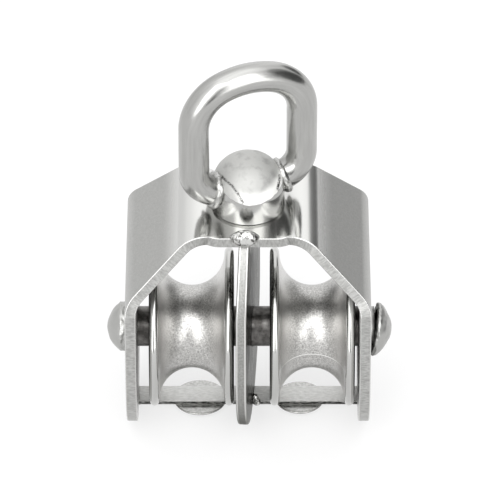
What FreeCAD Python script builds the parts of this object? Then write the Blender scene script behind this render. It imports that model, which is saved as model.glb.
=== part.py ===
import FreeCAD, Part

import math
import os
import re

import Sketcher
from FreeCAD import Placement, Rotation, Vector

# Double pulley block: two grooved wheels side by side on one riveted axle, in a
# housing bent from one sheet, hung from an eye that swivels on top.
# X runs along the axle, Y from front to rear and Z up. The origin is the middle
# of the axle, straight under the swivel. All lengths are in millimetres.

SIZES = {
    # Housing, one bent sheet
    "sheet_thickness": 1.7,
    "housing_width": 38.0,
    "crest_width": 17.2,
    "crest_height": 25.7,
    "shoulder_height": 15.3,
    "seat_height": 24.1,
    "seat_width": 9.8,
    "bend_radius": 3.0,
    "dip_radius": 3.0,
    "top_depth": 17.4,
    "cheek_radius": 14.9,
    # Centre plate, a little turned about the upright axis
    "plate_thickness": 1.65,
    "plate_overhang": 0.6,
    "plate_taper_base": 13.6,
    "plate_angle": 3.3,
    "notch_width": 12.4,
    "notch_gap": 0.5,
    # Guard bars under the sheaves, each with a round button under it
    "guard_inset": 0.45,
    "guard_thickness": 0.75,
    "guard_depth": 3.8,
    "button_place": 8.2,
    "button_diameter": 8.0,
    "button_rim": 0.3,
    "button_dome": 0.5,
    # Sheaves, as wide and as large as the housing and the guard bars leave room for
    "guard_gap": 1.2,
    "side_gap": 0.67,
    "wheel_play": 1.88,
    "rim_width": 1.2,
    "bore_chamfer": 0.4,
    # Axle, one rivet with a hammered head on the right
    "axle_diameter": 6.3,
    "axle_fit": 0.05,
    "left_head_diameter": 7.7,
    "left_rim_height": 1.75,
    "left_dome_height": 1.35,
    "right_head_diameter": 8.2,
    "right_neck_height": 0.8,
    "right_rim_height": 0.5,
    "right_dome_height": 2.2,
    "right_head_angle": 9.5,
    "right_head_drop": 0.6,
    # Swivel pin: domed head, shank through the top and peened end
    "head_diameter": 11.3,
    "head_wall": 3.9,
    "head_dome": 5.15,
    "head_round": 0.6,
    "seat_gap": 0.2,
    "shank_diameter": 6.0,
    "shank_fit": 0.08,
    "washer_diameter": 9.6,
    "washer_thickness": 0.9,
    "peened_diameter": 8.6,
    "peened_rim": 0.6,
    "peened_dome": 0.9,
    # Eye
    "eye_angle": 20.0,
    "bar_diameter": 4.74,
    "eye_half_width": 8.8,
    "eye_entry_height": 28.2,
    "eye_top_height": 48.25,
    "eye_top_radius": 12.0,
    "eye_shoulder_radius": 7.2,
    "eye_corner_radius": 4.5,
    "eye_end_inset": 3.0,
    # Weld beads
    "plate_weld_width": 4.5,
    "plate_weld_depth": 3.4,
    "plate_weld_height": 2.8,
    "ring_weld_thickness": 1.1,
    "guard_weld_width": 1.8,
    "guard_weld_depth": 3.0,
    "guard_weld_height": 1.4,
}

doc = FreeCAD.newDocument("double_pulley")
sheet = doc.addObject("Spreadsheet::Sheet", "sizes")
for row, (alias, number) in enumerate(SIZES.items(), start=1):
    sheet.set(f"A{row}", alias)
    sheet.set(f"B{row}", str(number))
    sheet.setAlias(f"B{row}", alias)
doc.recompute()

gauge = doc.addObject("App::FeaturePython", "gauge")
gauge.addProperty("App::PropertyFloat", "reading")


def formula(text):
    """An expression on the sheet, from a formula that names its sizes."""
    return re.sub(r"[a-z_]+", lambda word: f"sizes.{word[0]}" if word[0] in SIZES else word[0], text)


def value(text):
    """The number that a formula gives."""
    gauge.setExpression("reading", formula(text))
    gauge.recompute()
    return gauge.reading


def bind(thing, **formulas):
    """Bind properties of an object to the sheet."""
    for name, text in formulas.items():
        thing.setExpression(name, formula(text))
    return thing


def move(thing, x="0", y="0", z="0"):
    """Bind an object's place to the sheet."""
    for axis, text in (("x", x), ("y", y), ("z", z)):
        thing.setExpression(f".Placement.Base.{axis}", formula(text))
    return thing


def turn(thing, axis, angle):
    """Turn an object about an axis through its own origin by a size in degrees."""
    thing.Placement = Placement(thing.Placement.Base, Rotation(axis, 1))
    thing.setExpression(".Placement.Rotation.Angle", formula(f"({angle}) * 1 deg"))
    return thing


def solid(kind, name, **formulas):
    """A primitive whose sizes are bound to the sheet."""
    return bind(doc.addObject(f"Part::{kind}", name), **formulas)


def fuse(name, parts):
    """One solid from several."""
    whole = doc.addObject("Part::MultiFuse", name)
    whole.Shapes = parts
    whole.Refine = True
    return whole


def cut(name, base, tools):
    """A solid less one or more others, one after the other."""
    for tool in tools[:-1]:
        base = cut(f"{name}_less_{tool.Name}", base, [tool])
    less = doc.addObject("Part::Cut", name)
    less.Base = base
    less.Tool = tools[-1]
    return less


def plane(body, role):
    """One of a body's own origin planes."""
    return next(item for item in body.Origin.OriginFeatures if item.Role == role)


class Profile:
    """A sketch whose corners are placed by formulas on the sheet."""

    def __init__(self, body, name, role):
        self.sketch = body.newObject("Sketcher::SketchObject", name)
        self.sketch.AttachmentSupport = [(plane(body, role), "")]
        self.sketch.MapMode = "FlatFace"

    def rule(self, kind, *places):
        """Add a constraint that has no size."""
        self.sketch.addConstraint(Sketcher.Constraint(kind, *places))

    def dimension(self, kind, text, *places):
        """Add a constraint whose size is a formula."""
        index = self.sketch.addConstraint(Sketcher.Constraint(kind, *places, value(text)))
        self.sketch.setExpression(f"Constraints[{index}]", formula(text))

    def place(self, geo, end, across, up):
        """Hold a point at two distances from the sketch's origin."""
        for kind, axis, text in (("DistanceX", -2, across), ("DistanceY", -1, up)):
            if text == "0":
                self.rule("PointOnObject", geo, end, axis)
            elif value(text) < 0:
                self.dimension(kind, f"-({text})", geo, end, -1, 1)
            else:
                self.dimension(kind, text, -1, 1, geo, end)

    def hole(self, radius, across="0", up="0"):
        """A circle with its centre placed."""
        centre = Vector(value(across), value(up))
        geo = self.sketch.addGeometry(Part.Circle(centre, Vector(0, 0, 1), value(radius)), False)
        self.dimension("Radius", radius, geo)
        self.place(geo, 3, across, up)

    def step(self, start, end, bend):
        """A line, or an arc with a radius and its centre to the left or right of the way."""
        if not bend:
            return self.sketch.addGeometry(Part.LineSegment(start, end), False), 1, 2
        radius, side = value(bend[0]), bend[1]
        way = end - start
        sideways = Vector(-way.y, way.x).normalize() * (1 if side == "left" else -1)
        centre = start + way / 2 + sideways * math.sqrt(max(radius**2 - way.Length**2 / 4, 0))
        first, last = (start, end) if side == "left" else (end, start)
        angles = [math.atan2((point - centre).y, (point - centre).x) for point in (first, last)]
        arc = Part.ArcOfCircle(Part.Circle(centre, Vector(0, 0, 1), radius), *angles)
        geo = self.sketch.addGeometry(arc, False)
        self.dimension("Radius", bend[0], geo)
        return (geo, 1, 2) if side == "left" else (geo, 2, 1)

    def outline(self, corners, closed=True):
        """Run through corners, each (across, up) or (across, up, radius, side) before an arc."""
        points = [Vector(value(corner[0]), value(corner[1])) for corner in corners]
        count = len(corners) if closed else len(corners) - 1
        steps = [self.step(points[k], points[(k + 1) % len(points)], corners[k][2:]) for k in range(count)]
        for (first, _, out), (second, into, _) in zip(steps, steps[1:]):
            self.rule("Coincident", first, out, second, into)
        for (geo, into, _), corner in zip(steps, corners):
            self.place(geo, into, corner[0], corner[1])
        if closed:
            self.rule("Coincident", steps[-1][0], steps[-1][2], steps[0][0], steps[0][1])
        else:
            self.place(steps[-1][0], steps[-1][2], corners[-1][0], corners[-1][1])


def make_body(name):
    return doc.addObject("PartDesign::Body", name)


def feature(body, kind, name, profile, **formulas):
    """A PartDesign feature on a profile, with its sizes bound."""
    made = body.newObject(f"PartDesign::{kind}", name)
    made.Profile = profile.sketch
    return bind(made, **formulas)


def pad(body, name, profile, length):
    """Pad to both sides of the profile's plane."""
    made = feature(body, "Pad", name, profile, Length=length)
    made.SideType = "Symmetric"
    return made


def pocket(body, name, profile):
    """Cut through everything on both sides of the profile's plane."""
    made = feature(body, "Pocket", name, profile)
    made.SideType = "Symmetric"
    made.Type = "ThroughAll"
    return made


def revolve(body, name, profile, axis):
    made = feature(body, "Revolution", name, profile)
    made.ReferenceAxis = (profile.sketch, [axis])
    made.Angle = 360
    return made


def round_edges(body, name, base, radius, wanted):
    """Fillet the edges of a feature that a test picks out."""
    doc.recompute()
    names = [f"Edge{k}" for k, edge in enumerate(base.Shape.Edges, start=1) if wanted(edge)]
    made = body.newObject("PartDesign::Fillet", name)
    made.Base = (base, names)
    return bind(made, Radius=radius)


def shell(body, name, base, thickness, opened):
    """Hollow a feature inwards to a wall, with the faces that a test picks out left open."""
    doc.recompute()
    names = [f"Face{k}" for k, face in enumerate(base.Shape.Faces, start=1) if opened(face)]
    made = body.newObject("PartDesign::Thickness", name)
    made.Base = (base, names)
    made.Join = "Intersection"
    return bind(made, Value=thickness)


def along_y(x_text, z_text):
    """Test for the edges that run along Y at a distance to each side and at a height."""
    x, z = value(x_text), value(z_text)

    def wanted(edge):
        point = edge.CenterOfMass
        level = abs(edge.tangentAt(edge.FirstParameter).y) > 0.999
        return level and abs(abs(point.x) - x) < 1e-3 and abs(point.z - z) < 1e-3

    return wanted


def frame_round(reach):
    """Corners of a rectangle round the origin, to cut away what lies outside an outline."""
    return [(f"-({reach})", f"-({reach})"), (reach, f"-({reach})"), (reach, reach), (f"-({reach})", reach)]


def round_ended(radius, top):
    """Side view of a plate that is round below and straight above, as two lists of corners."""
    rising = [("0", f"-{radius}", radius, "left"), (radius, "0")]
    falling = [(f"-{radius}", "0", radius, "left")]
    return rising + top + falling


# Heights and sizes that several pieces share
UNDERSIDE = "seat_height - sheet_thickness"
SEAT = "seat_height + seat_gap"
WASHER_UNDERSIDE = f"{UNDERSIDE} - washer_thickness"
PEENED_TOP = f"{WASHER_UNDERSIDE} - seat_gap"
PEENED_LOW = f"{PEENED_TOP} - peened_rim - peened_dome"
DOME_BASE = f"{SEAT} + head_wall"
INSIDE = "(housing_width / 2 - sheet_thickness)"
PLATE_RADIUS = "(cheek_radius + plate_overhang)"
GUARD_UNDERSIDE = "-(cheek_radius - guard_inset)"
GUARD_TOP = "-(cheek_radius - guard_inset - guard_thickness)"
WHEEL_RADIUS = "(cheek_radius - guard_inset - guard_thickness - guard_gap)"
PLATE_REACH = f"(plate_thickness / 2 + {WHEEL_RADIUS} * tan(plate_angle * 1 deg))"
WHEEL_WIDTH = f"({INSIDE} - {PLATE_REACH} - side_gap - wheel_play)"

# Steps in which a trim follows each bend
BEND_STATIONS = 4


def bend(before, corner, after, radius):
    """A rounded corner of the sheet's outer face: its stations as (place, outward direction)."""
    into, out = (corner - before).normalize(), (after - corner).normalize()
    turned = into.getAngle(out)
    start = corner - into * radius * math.tan(turned / 2)
    outward = Vector(-into.z, 0, into.x)
    centre = start - outward * radius
    turns = [math.degrees(turned) * k / BEND_STATIONS for k in range(BEND_STATIONS + 1)]
    steps = [Rotation(Vector(0, 1, 0), angle) for angle in turns]
    return [(centre + step.multVec(outward) * radius, step.multVec(outward)) for step in steps]


def mirrored(point):
    """The same point on the other side of the middle."""
    return Vector(-point.x, point.y, point.z)


def make_trim(name, side):
    """What is cut off one edge of the sheet, square to its face all the way round the bends.

    The blank was cut before it was bent: it is parallel across the top and widens
    evenly, along its developed length, from the crest bends to the cheeks.
    """
    seat = Vector(value("seat_width / 2"), 0, value("seat_height"))
    crest = Vector(value("crest_width / 2"), 0, value("crest_height"))
    shoulder = Vector(value("housing_width / 2"), 0, value("shoulder_height"))
    radius = value("bend_radius + sheet_thickness")
    narrow, wide = value("top_depth / 2"), value("cheek_radius")
    stations = bend(seat, crest, shoulder, radius)
    stations += bend(crest, shoulder, shoulder - Vector(0, 0, wide), radius)
    lengths = [0.0]
    for (place, outward), (following, after) in zip(stations, stations[1:]):
        turned = outward.getAngle(after)
        chord = (following - place).Length
        lengths.append(lengths[-1] + (chord * turned / 2 / math.sin(turned / 2) if turned > 1e-6 else chord))
    half = [(Vector(0, 0, seat.z), Vector(0, 0, 1), narrow)]
    half += [(place, outward, narrow + (wide - narrow) * length / lengths[-1])
             for (place, outward), length in zip(stations, lengths)]
    other = [(mirrored(place), mirrored(outward), reach) for place, outward, reach in half[:0:-1]]
    wires = []
    above = value("sheet_thickness")
    below = 2 * above
    for place, outward, reach in other + half:
        edge, far = Vector(0, side * reach, 0), Vector(0, side * 2 * wide, 0)
        over, under = place + outward * above, place - outward * below
        wires.append(Part.makePolygon([over + edge, under + edge, under + far, over + far, over + edge]))
    trim = doc.addObject("Part::Feature", name)
    trim.Shape = Part.makeLoft(wires, True, True)
    return trim


def make_housing():
    """The bent sheet: closed block, rounded at the bends, hollowed to a wall and cut to its outline."""
    body = make_body("bent_sheet")
    strip = Profile(body, "bent_outline", "XZ_Plane")
    half, crest, seat = "housing_width / 2", "crest_width / 2", "seat_width / 2"
    strip.outline([
        (f"-{half}", "-cheek_radius"),
        (half, "-cheek_radius"),
        (half, "shoulder_height"),
        (crest, "crest_height"),
        (seat, "seat_height"),
        (f"-{seat}", "seat_height"),
        (f"-{crest}", "crest_height"),
        (f"-{half}", "shoulder_height"),
    ])
    block = pad(body, "block", strip, "2 * cheek_radius")
    outer_radius = "bend_radius + sheet_thickness"
    shoulders = round_edges(body, "shoulder_bends", block, outer_radius, along_y(half, "shoulder_height"))
    crests = round_edges(body, "crest_bends", shoulders, outer_radius, along_y(crest, "crest_height"))
    dips = round_edges(body, "dip_bends", crests, "dip_radius", along_y(seat, "seat_height"))

    def opened(face):
        end = abs(abs(face.CenterOfMass.y) - value("cheek_radius")) < 1e-3
        return end or abs(face.CenterOfMass.z + value("cheek_radius")) < 1e-3

    shell(body, "wall", dips, "sheet_thickness", opened)
    side = Profile(body, "side_view", "YZ_Plane")
    square_top = [("cheek_radius", "crest_height"), ("-cheek_radius", "crest_height")]
    side.outline(round_ended("cheek_radius", square_top))
    side.outline(frame_round("2 * cheek_radius"))
    pocket(body, "side_cut", side)
    axle_holes = Profile(body, "axle_holes", "YZ_Plane")
    axle_holes.hole("axle_diameter / 2 + axle_fit")
    pocket(body, "axle_cut", axle_holes)
    swivel_hole = Profile(body, "swivel_hole", "XY_Plane")
    swivel_hole.hole("shank_diameter / 2 + shank_fit")
    pocket(body, "swivel_cut", swivel_hole)
    return cut("housing", body, [make_trim("front_trim", -1), make_trim("rear_trim", 1)])


def make_centre_plate():
    """Plate between the sheaves, notched on top for the swivel's peened end."""
    body = make_body("centre_plate")
    view = Profile(body, "plate_view", "YZ_Plane")
    notch, low = "notch_width / 2", f"{PEENED_LOW} - notch_gap"
    top = "top_depth / 2"
    view.outline(round_ended(PLATE_RADIUS, [
        (PLATE_RADIUS, "plate_taper_base"),
        (top, UNDERSIDE),
        (notch, UNDERSIDE),
        (notch, low),
        (f"-{notch}", low),
        (f"-{notch}", UNDERSIDE),
        (f"-{top}", UNDERSIDE),
        (f"-{PLATE_RADIUS}", "plate_taper_base"),
    ]))
    pad(body, "plate", view, "plate_thickness")
    hole = Profile(body, "plate_hole", "YZ_Plane")
    hole.hole("axle_diameter / 2 + axle_fit")
    pocket(body, "plate_cut", hole)
    return turn(body, Vector(0, 0, 1), "-plate_angle")


def make_sheave(name, x):
    """Turned wheel: round groove, full round rims, chamfered bore."""
    body = make_body(name)
    half, outer, bore = f"{WHEEL_WIDTH} / 2", WHEEL_RADIUS, "(axle_diameter / 2 + axle_fit)"
    groove, lip = f"({half} - rim_width)", "rim_width / 2"
    lip_height = f"{outer} - {lip}"
    profile = Profile(body, f"{name}_profile", "XZ_Plane")
    profile.outline([
        (f"-{half} + bore_chamfer", bore),
        (f"{half} - bore_chamfer", bore),
        (half, f"{bore} + bore_chamfer"),
        (half, lip_height, lip, "left"),
        (f"{half} - {lip}", outer, lip, "left"),
        (groove, lip_height, groove, "right"),
        ("0", f"{lip_height} - {groove}", groove, "right"),
        (f"-{groove}", lip_height, lip, "left"),
        (f"-{half} + {lip}", outer, lip, "left"),
        (f"-{half}", lip_height),
        (f"-{half}", f"{bore} + bore_chamfer"),
    ])
    revolve(body, "wheel", profile, "H_Axis")
    return move(body, x=x)


def dome_radius(diameter, height):
    """Radius of the sphere that a low dome is a cap of."""
    return f"({diameter}^2 / 4 + {height}^2) / (2 * {height})"


def make_axle_rivet():
    """Shaft with a dome head on the left and a hammered, tilted head on the right."""
    half, shaft = "housing_width / 2", "axle_diameter / 2"
    head = "left_head_diameter / 2"
    rim = f"-({half} + left_rim_height)"
    body = make_body("axle_shaft")
    profile = Profile(body, "axle_profile", "XZ_Plane")
    end = f"{half} + right_neck_height"
    profile.outline([
        (f"{rim} - left_dome_height", "0"),
        (end, "0"),
        (end, shaft),
        (f"-{half}", shaft),
        (f"-{half}", head),
        (rim, head, dome_radius("left_head_diameter", "left_dome_height"), "left"),
    ])
    revolve(body, "shaft_and_dome", profile, "H_Axis")

    hammered = make_body("hammered_head")
    cap_radius = dome_radius("right_head_diameter", "right_dome_height")
    cap = Profile(hammered, "hammered_profile", "XZ_Plane")
    cap.outline([
        ("0", "0"),
        ("right_rim_height + right_dome_height", "0", cap_radius, "left"),
        ("right_rim_height", "right_head_diameter / 2"),
        ("0", "right_head_diameter / 2"),
    ])
    revolve(hammered, "cap", cap, "H_Axis")
    move(turn(hammered, Vector(0, 1, 0), "right_head_angle"), x=end, z="-right_head_drop")
    return fuse("axle_rivet", [body, hammered])


def make_swivel_pin():
    """Domed head with a straight wall, a shank through the top and a peened end."""
    body = make_body("swivel_pin")
    head, shank, peened = "head_diameter / 2", "shank_diameter / 2", "peened_diameter / 2"
    rim = f"{PEENED_TOP} - peened_rim"
    profile = Profile(body, "pin_profile", "XZ_Plane")
    profile.outline([
        ("0", PEENED_LOW, dome_radius("peened_diameter", "peened_dome"), "left"),
        (peened, rim),
        (peened, PEENED_TOP),
        (shank, PEENED_TOP),
        (shank, SEAT),
        (f"{head} - head_round", SEAT, "head_round", "left"),
        (head, f"{SEAT} + head_round"),
        (head, DOME_BASE, dome_radius("head_diameter", "head_dome"), "left"),
        ("0", f"{DOME_BASE} + head_dome"),
    ])
    revolve(body, "turned_pin", profile, "V_Axis")
    return turn(body, Vector(0, 0, 1), "eye_angle")


def make_swivel_washer():
    """Washer between the top and the peened end."""
    outer = solid("Cylinder", "washer_disc", Radius="washer_diameter / 2", Height="washer_thickness")
    hole = solid("Cylinder", "washer_hole", Radius="shank_diameter / 2 + shank_fit",
                 Height="washer_thickness")
    return cut("swivel_washer", move(outer, z=WASHER_UNDERSIDE), [move(hole, z=WASHER_UNDERSIDE)])


def make_eye_ring(pin):
    """Round bar bent to an arch, its two ends turned in and seated on the swivel's head."""
    body = make_body("eye_bar")
    side, entry, corner = "eye_half_width", "eye_entry_height", "eye_corner_radius"
    shoulder, arch = "eye_shoulder_radius", "eye_top_radius"
    reach, more = f"({side} - {shoulder})", f"({arch} - {shoulder})"
    arch_centre = f"(eye_top_height - {arch})"
    shoulder_level = f"{arch_centre} + sqrt({more}^2 - {reach}^2)"
    meet = f"{arch} * {reach} / {more}"
    meet_level = f"{arch_centre} + {arch} * sqrt(1 - ({reach} / {more})^2)"
    path = Profile(body, "eye_path", "XZ_Plane")
    path.outline([
        ("eye_end_inset", entry),
        (f"{side} - {corner}", entry, corner, "left"),
        (side, f"{entry} + {corner}"),
        (side, shoulder_level, shoulder, "left"),
        (meet, meet_level, arch, "left"),
        (f"-{meet}", meet_level, shoulder, "left"),
        (f"-{side}", shoulder_level),
        (f"-{side}", f"{entry} + {corner}", corner, "left"),
        (f"-({side} - {corner})", entry),
        ("-eye_end_inset", entry),
    ], closed=False)
    section = Profile(body, "bar_section", "YZ_Plane")
    section.sketch.setExpression(".AttachmentOffset.Base.z", formula("eye_end_inset"))
    section.hole("bar_diameter / 2", "0", entry)
    bar = body.newObject("PartDesign::AdditivePipe", "bar")
    bar.Profile = section.sketch
    bar.Spine = path.sketch
    turn(body, Vector(0, 0, 1), "eye_angle")
    return cut("eye_ring", body, [pin])


def eye_joint():
    """Where the bar's centre line meets the head's dome: distance from the axis, height and slope."""
    corner, reach = value("eye_corner_radius"), value("eye_half_width - eye_corner_radius")
    corner_level = value("eye_entry_height + eye_corner_radius")
    dome = value(dome_radius("head_diameter", "head_dome"))
    dome_level = value(f"{DOME_BASE} + head_dome") - dome
    rise = corner_level - dome_level
    span = math.hypot(reach, rise)
    along = (span**2 + dome**2 - corner**2) / (2 * span)
    away = math.sqrt(dome**2 - along**2)
    x = (along * reach + away * rise) / span
    z = (along * rise - away * reach) / span + dome_level
    return x, z, math.degrees(math.atan2(x - reach, corner_level - z))


def make_ring_weld(name, side, neighbours):
    """Bead round the bar where it meets the head."""
    x, z, slope = eye_joint()
    bead = solid("Torus", f"{name}_bead", Radius1="bar_diameter / 2", Radius2="ring_weld_thickness / 2")
    lean = Rotation(Vector(0, 1, 0), side * (90 - slope))
    around = Rotation(Vector(0, 0, 1), value("eye_angle"))
    bead.Placement = Placement(around.multVec(Vector(side * x, 0, z)), around.multiply(lean))
    return cut(name, bead, neighbours)


def make_plate_weld(name, side, neighbours):
    """Bead over the edge of the top and the corner of the centre plate."""
    bead = solid("Ellipsoid", f"{name}_bead", Radius1="plate_weld_height / 2",
                 Radius2="plate_weld_width / 2", Radius3="plate_weld_depth / 2")
    bead.Angle1, bead.Angle2 = -90, 90
    shift = f"{side} * top_depth / 2"
    move(bead, x=f"{shift} * tan(plate_angle * 1 deg)", y=shift, z="seat_height - sheet_thickness / 4")
    return cut(name, bead, neighbours)


def make_guard(name, side, plate):
    """Flat bar from a cheek to the centre plate."""
    bar = solid("Box", f"{name}_strip", Length=INSIDE, Width="guard_depth", Height="guard_thickness")
    move(bar, x="0" if side > 0 else f"-{INSIDE}", y="-guard_depth / 2", z=GUARD_UNDERSIDE)
    return cut(name, bar, [plate])


def make_guard_button(name, side):
    """Round button with a low dome, flat against the underside of its bar."""
    body = make_body(name)
    radius, rim = "button_diameter / 2", f"{GUARD_UNDERSIDE} - button_rim"
    profile = Profile(body, f"{name}_profile", "XZ_Plane")
    profile.outline([
        ("0", f"{rim} - button_dome", dome_radius("button_diameter", "button_dome"), "left"),
        (radius, rim),
        (radius, GUARD_UNDERSIDE),
        ("0", GUARD_UNDERSIDE),
    ])
    revolve(body, "button", profile, "V_Axis")
    return move(body, x=f"{side} * button_place")


def make_guard_weld(name, x, neighbours):
    """Bead under one end of a guard bar."""
    bead = solid("Ellipsoid", f"{name}_bead", Radius1="guard_weld_height / 2",
                 Radius2="guard_weld_width / 2", Radius3="guard_weld_depth / 2")
    bead.Angle1, bead.Angle2 = -90, 90
    return cut(name, move(bead, x=x, z=GUARD_UNDERSIDE), neighbours)


housing = make_housing()
plate = make_centre_plate()
pin = make_swivel_pin()
ring = make_eye_ring(pin)
pieces = [
    housing,
    plate,
    pin,
    ring,
    make_swivel_washer(),
    make_axle_rivet(),
    make_sheave("sheave_left", f"-({PLATE_REACH} + side_gap + {WHEEL_WIDTH} / 2)"),
    make_sheave("sheave_right", f"{INSIDE} - side_gap - {WHEEL_WIDTH} / 2"),
    make_ring_weld("ring_weld_left", -1, [pin, ring]),
    make_ring_weld("ring_weld_right", 1, [pin, ring]),
    make_plate_weld("plate_weld_front", -1, [plate, housing]),
    make_plate_weld("plate_weld_rear", 1, [plate, housing]),
]
for hand, side in (("left", -1), ("right", 1)):
    guard = make_guard(f"guard_bar_{hand}", side, plate)
    pieces += [
        guard,
        make_guard_button(f"guard_button_{hand}", side),
        make_guard_weld(f"guard_weld_{hand}_outer", f"{side} * {INSIDE}", [housing, guard]),
        make_guard_weld(f"guard_weld_{hand}_inner", f"{side} * plate_thickness / 2", [plate, guard]),
    ]

doc.recompute()
for thing in doc.Objects:
    if {"Invalid", "Error"} & set(thing.State):
        raise RuntimeError(f"{thing.Name} failed: {thing.State}")
os.makedirs("parts", exist_ok=True)
for piece in pieces:
    if piece.Shape.isNull() or not piece.Shape.isValid():
        raise RuntimeError(f"{piece.Name} has no valid shape")
    piece.Label = piece.Name
    piece.Shape.exportStep(f"parts/{piece.Label}.step")
    box = piece.Shape.BoundBox
    print(f"{piece.Label}: {len(piece.Shape.Solids)} solid, {piece.Shape.Volume:.2f} mm3, "
          f"x {box.XMin:.2f} to {box.XMax:.2f}, y {box.YMin:.2f} to {box.YMax:.2f}, "
          f"z {box.ZMin:.2f} to {box.ZMax:.2f}")
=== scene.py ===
# %% [markdown]
# # A double pulley with a swivel eye
#
# This lesson dresses a small stainless steel pulley block. A sheet is bent
# over the top like a roof, a plate hangs in the middle, and two grooved
# wheels turn on one rivet. A welded ring swivels on top.
# The engineering model is loaded first. Every piece made here sits where
# that model says, in metres, and moves with the part that carries it.

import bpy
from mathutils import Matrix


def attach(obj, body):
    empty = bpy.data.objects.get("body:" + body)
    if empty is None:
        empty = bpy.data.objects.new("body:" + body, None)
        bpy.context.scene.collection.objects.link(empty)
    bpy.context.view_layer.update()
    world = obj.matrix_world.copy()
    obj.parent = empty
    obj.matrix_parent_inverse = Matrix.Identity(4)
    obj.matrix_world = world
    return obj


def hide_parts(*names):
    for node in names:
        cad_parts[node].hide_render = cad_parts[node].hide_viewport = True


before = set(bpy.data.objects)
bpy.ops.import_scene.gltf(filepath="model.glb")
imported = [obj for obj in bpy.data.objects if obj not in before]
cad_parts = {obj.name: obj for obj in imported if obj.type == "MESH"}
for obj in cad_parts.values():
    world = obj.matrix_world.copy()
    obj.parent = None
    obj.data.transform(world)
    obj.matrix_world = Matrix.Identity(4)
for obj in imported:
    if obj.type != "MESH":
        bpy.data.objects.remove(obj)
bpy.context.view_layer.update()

# %% [markdown]
# ## Sizes
#
# A workshop drawing is read in millimetres, and Blender works in metres.
# One constant, MM, turns one into the other, so that each number below is
# the number on the drawing. The origin is the middle of the axle, X runs
# along it and Z points up to the ring.

# %% Sizes that several pieces share
import math

import bmesh
import bpy
from mathutils import Matrix, Vector, noise

MM = 0.001
SHEET = 1.7
SEAT = 24.1
OUTSIDE = 19.0
INSIDE = 17.3
GUARD_TOP = -13.7
GUARD_UNDER = -14.45
EYE_TURN = math.radians(20.0)
PLATE_TURN = math.radians(-4.1)
print("between the cheeks:", 2 * INSIDE, "mm, over them:", 2 * OUTSIDE, "mm")

# %% [markdown]
# ## A few small helpers
#
# Bent sheet, rivets and rings are all drawn in the same way: straight runs
# joined by arcs. The first helper puts points on an arc, and the second
# rounds the corners of a line. The next ones make an object from points
# and faces, merge what lies on one spot and turn every face outwards. The
# last one says which body a finished piece rides on, and which pieces of
# the engineering model it stands for.

# %% Lines with rounded corners
ARC_STEP = math.radians(5.0)


def arc(centre, radius, start, end):
    """Points on an arc from one angle to another, in degrees."""
    a, b = math.radians(start), math.radians(end)
    count = max(2, round(abs(b - a) / ARC_STEP))
    return [(centre[0] + radius * math.cos(a + (b - a) * i / count),
             centre[1] + radius * math.sin(a + (b - a) * i / count))
            for i in range(count + 1)]


def rounded(corners, radii):
    """A line through the corners, each but the two ends turned into an arc of its radius."""
    line = [Vector(corners[0])]
    for before, here, after, radius in zip(corners, corners[1:], corners[2:], radii):
        here = Vector(here)
        back, on = (Vector(before) - here).normalized(), (Vector(after) - here).normalized()
        half = back.angle(on) / 2
        middle = here + (back + on).normalized() * radius / math.sin(half)
        start, end = here + back * radius / math.tan(half), here + on * radius / math.tan(half)
        turn = (start - middle).angle_signed(end - middle)
        count = max(2, round(abs(turn) / ARC_STEP))
        line += [middle + Matrix.Rotation(-turn * i / count, 2) @ (start - middle)
                 for i in range(count + 1)]
    return [tuple(p) for p in line + [Vector(corners[-1])]]


# %% Objects from points and faces
def in_scene(name, data):
    """A new object for this mesh, curve, camera or light."""
    made = bpy.data.objects.new(name, data)
    bpy.context.scene.collection.objects.link(made)
    return made


def object_from(name, points, faces, merge=True):
    """A shaded object; doubles are merged and the faces point outwards."""
    mesh = bpy.data.meshes.new(name)
    mesh.from_pydata([tuple(p) for p in points], [], faces)
    made = in_scene(name, mesh)
    if merge:
        tidy_mesh(made)
    return made


def tidy_mesh(piece, distance=0.0004 * MM):
    """Merges doubles, turns the faces outwards and shades the mesh smooth."""
    work = bmesh.new()
    work.from_mesh(piece.data)
    bmesh.ops.remove_doubles(work, verts=work.verts, dist=distance)
    bmesh.ops.dissolve_degenerate(work, edges=work.edges, dist=distance)
    bmesh.ops.recalc_face_normals(work, faces=work.faces)
    work.to_mesh(piece.data)
    work.free()
    piece.data.shade_smooth()


def place(piece, body, slot, *nodes):
    """The piece rides on a body and stands for these nodes; the slot is not used."""
    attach(piece, body)
    if nodes:
        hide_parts(*nodes)
    piece.data.update()
    print(f"{piece.name}: {len(piece.data.polygons)} faces, rides on {body}")


# %% [markdown]
# ## Colours and nodes
#
# Screen colours are written as hex codes, while light is added up in
# linear values, so one function turns the first into the second.
# A second one adds a node: it sets the node's choices and the stops of its
# colour ramp, fills its inputs, and links those inputs that are given
# another node's output. Two more start a metal, and read the mask of the
# cut edge that flat pieces store on their mesh.

# %% One function for colour and one for nodes
def linear(code):
    """A hex colour such as B4B4B1 as linear red, green, blue and alpha."""
    parts = [int(code[i:i + 2], 16) / 255 for i in (0, 2, 4)]
    return tuple(c / 12.92 if c < 0.04045 else ((c + 0.055) / 1.055) ** 2.4 for c in parts) + (1.0,)


def add_node(tree, kind, choices=None, inputs=None, stops=()):
    """Adds one node, sets its choices and colour stops, and fills or links its inputs."""
    node = tree.nodes.new(kind)
    for key, value in (choices or {}).items():
        setattr(node, key, value)
    for number, (position, code) in enumerate(stops):
        node.color_ramp.elements[number].position = position
        node.color_ramp.elements[number].color = linear(code)
    for key, value in (inputs or {}).items():
        if isinstance(value, bpy.types.NodeSocket):
            tree.links.new(value, node.inputs[key])
        else:
            node.inputs[key].default_value = value
    return node


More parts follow.
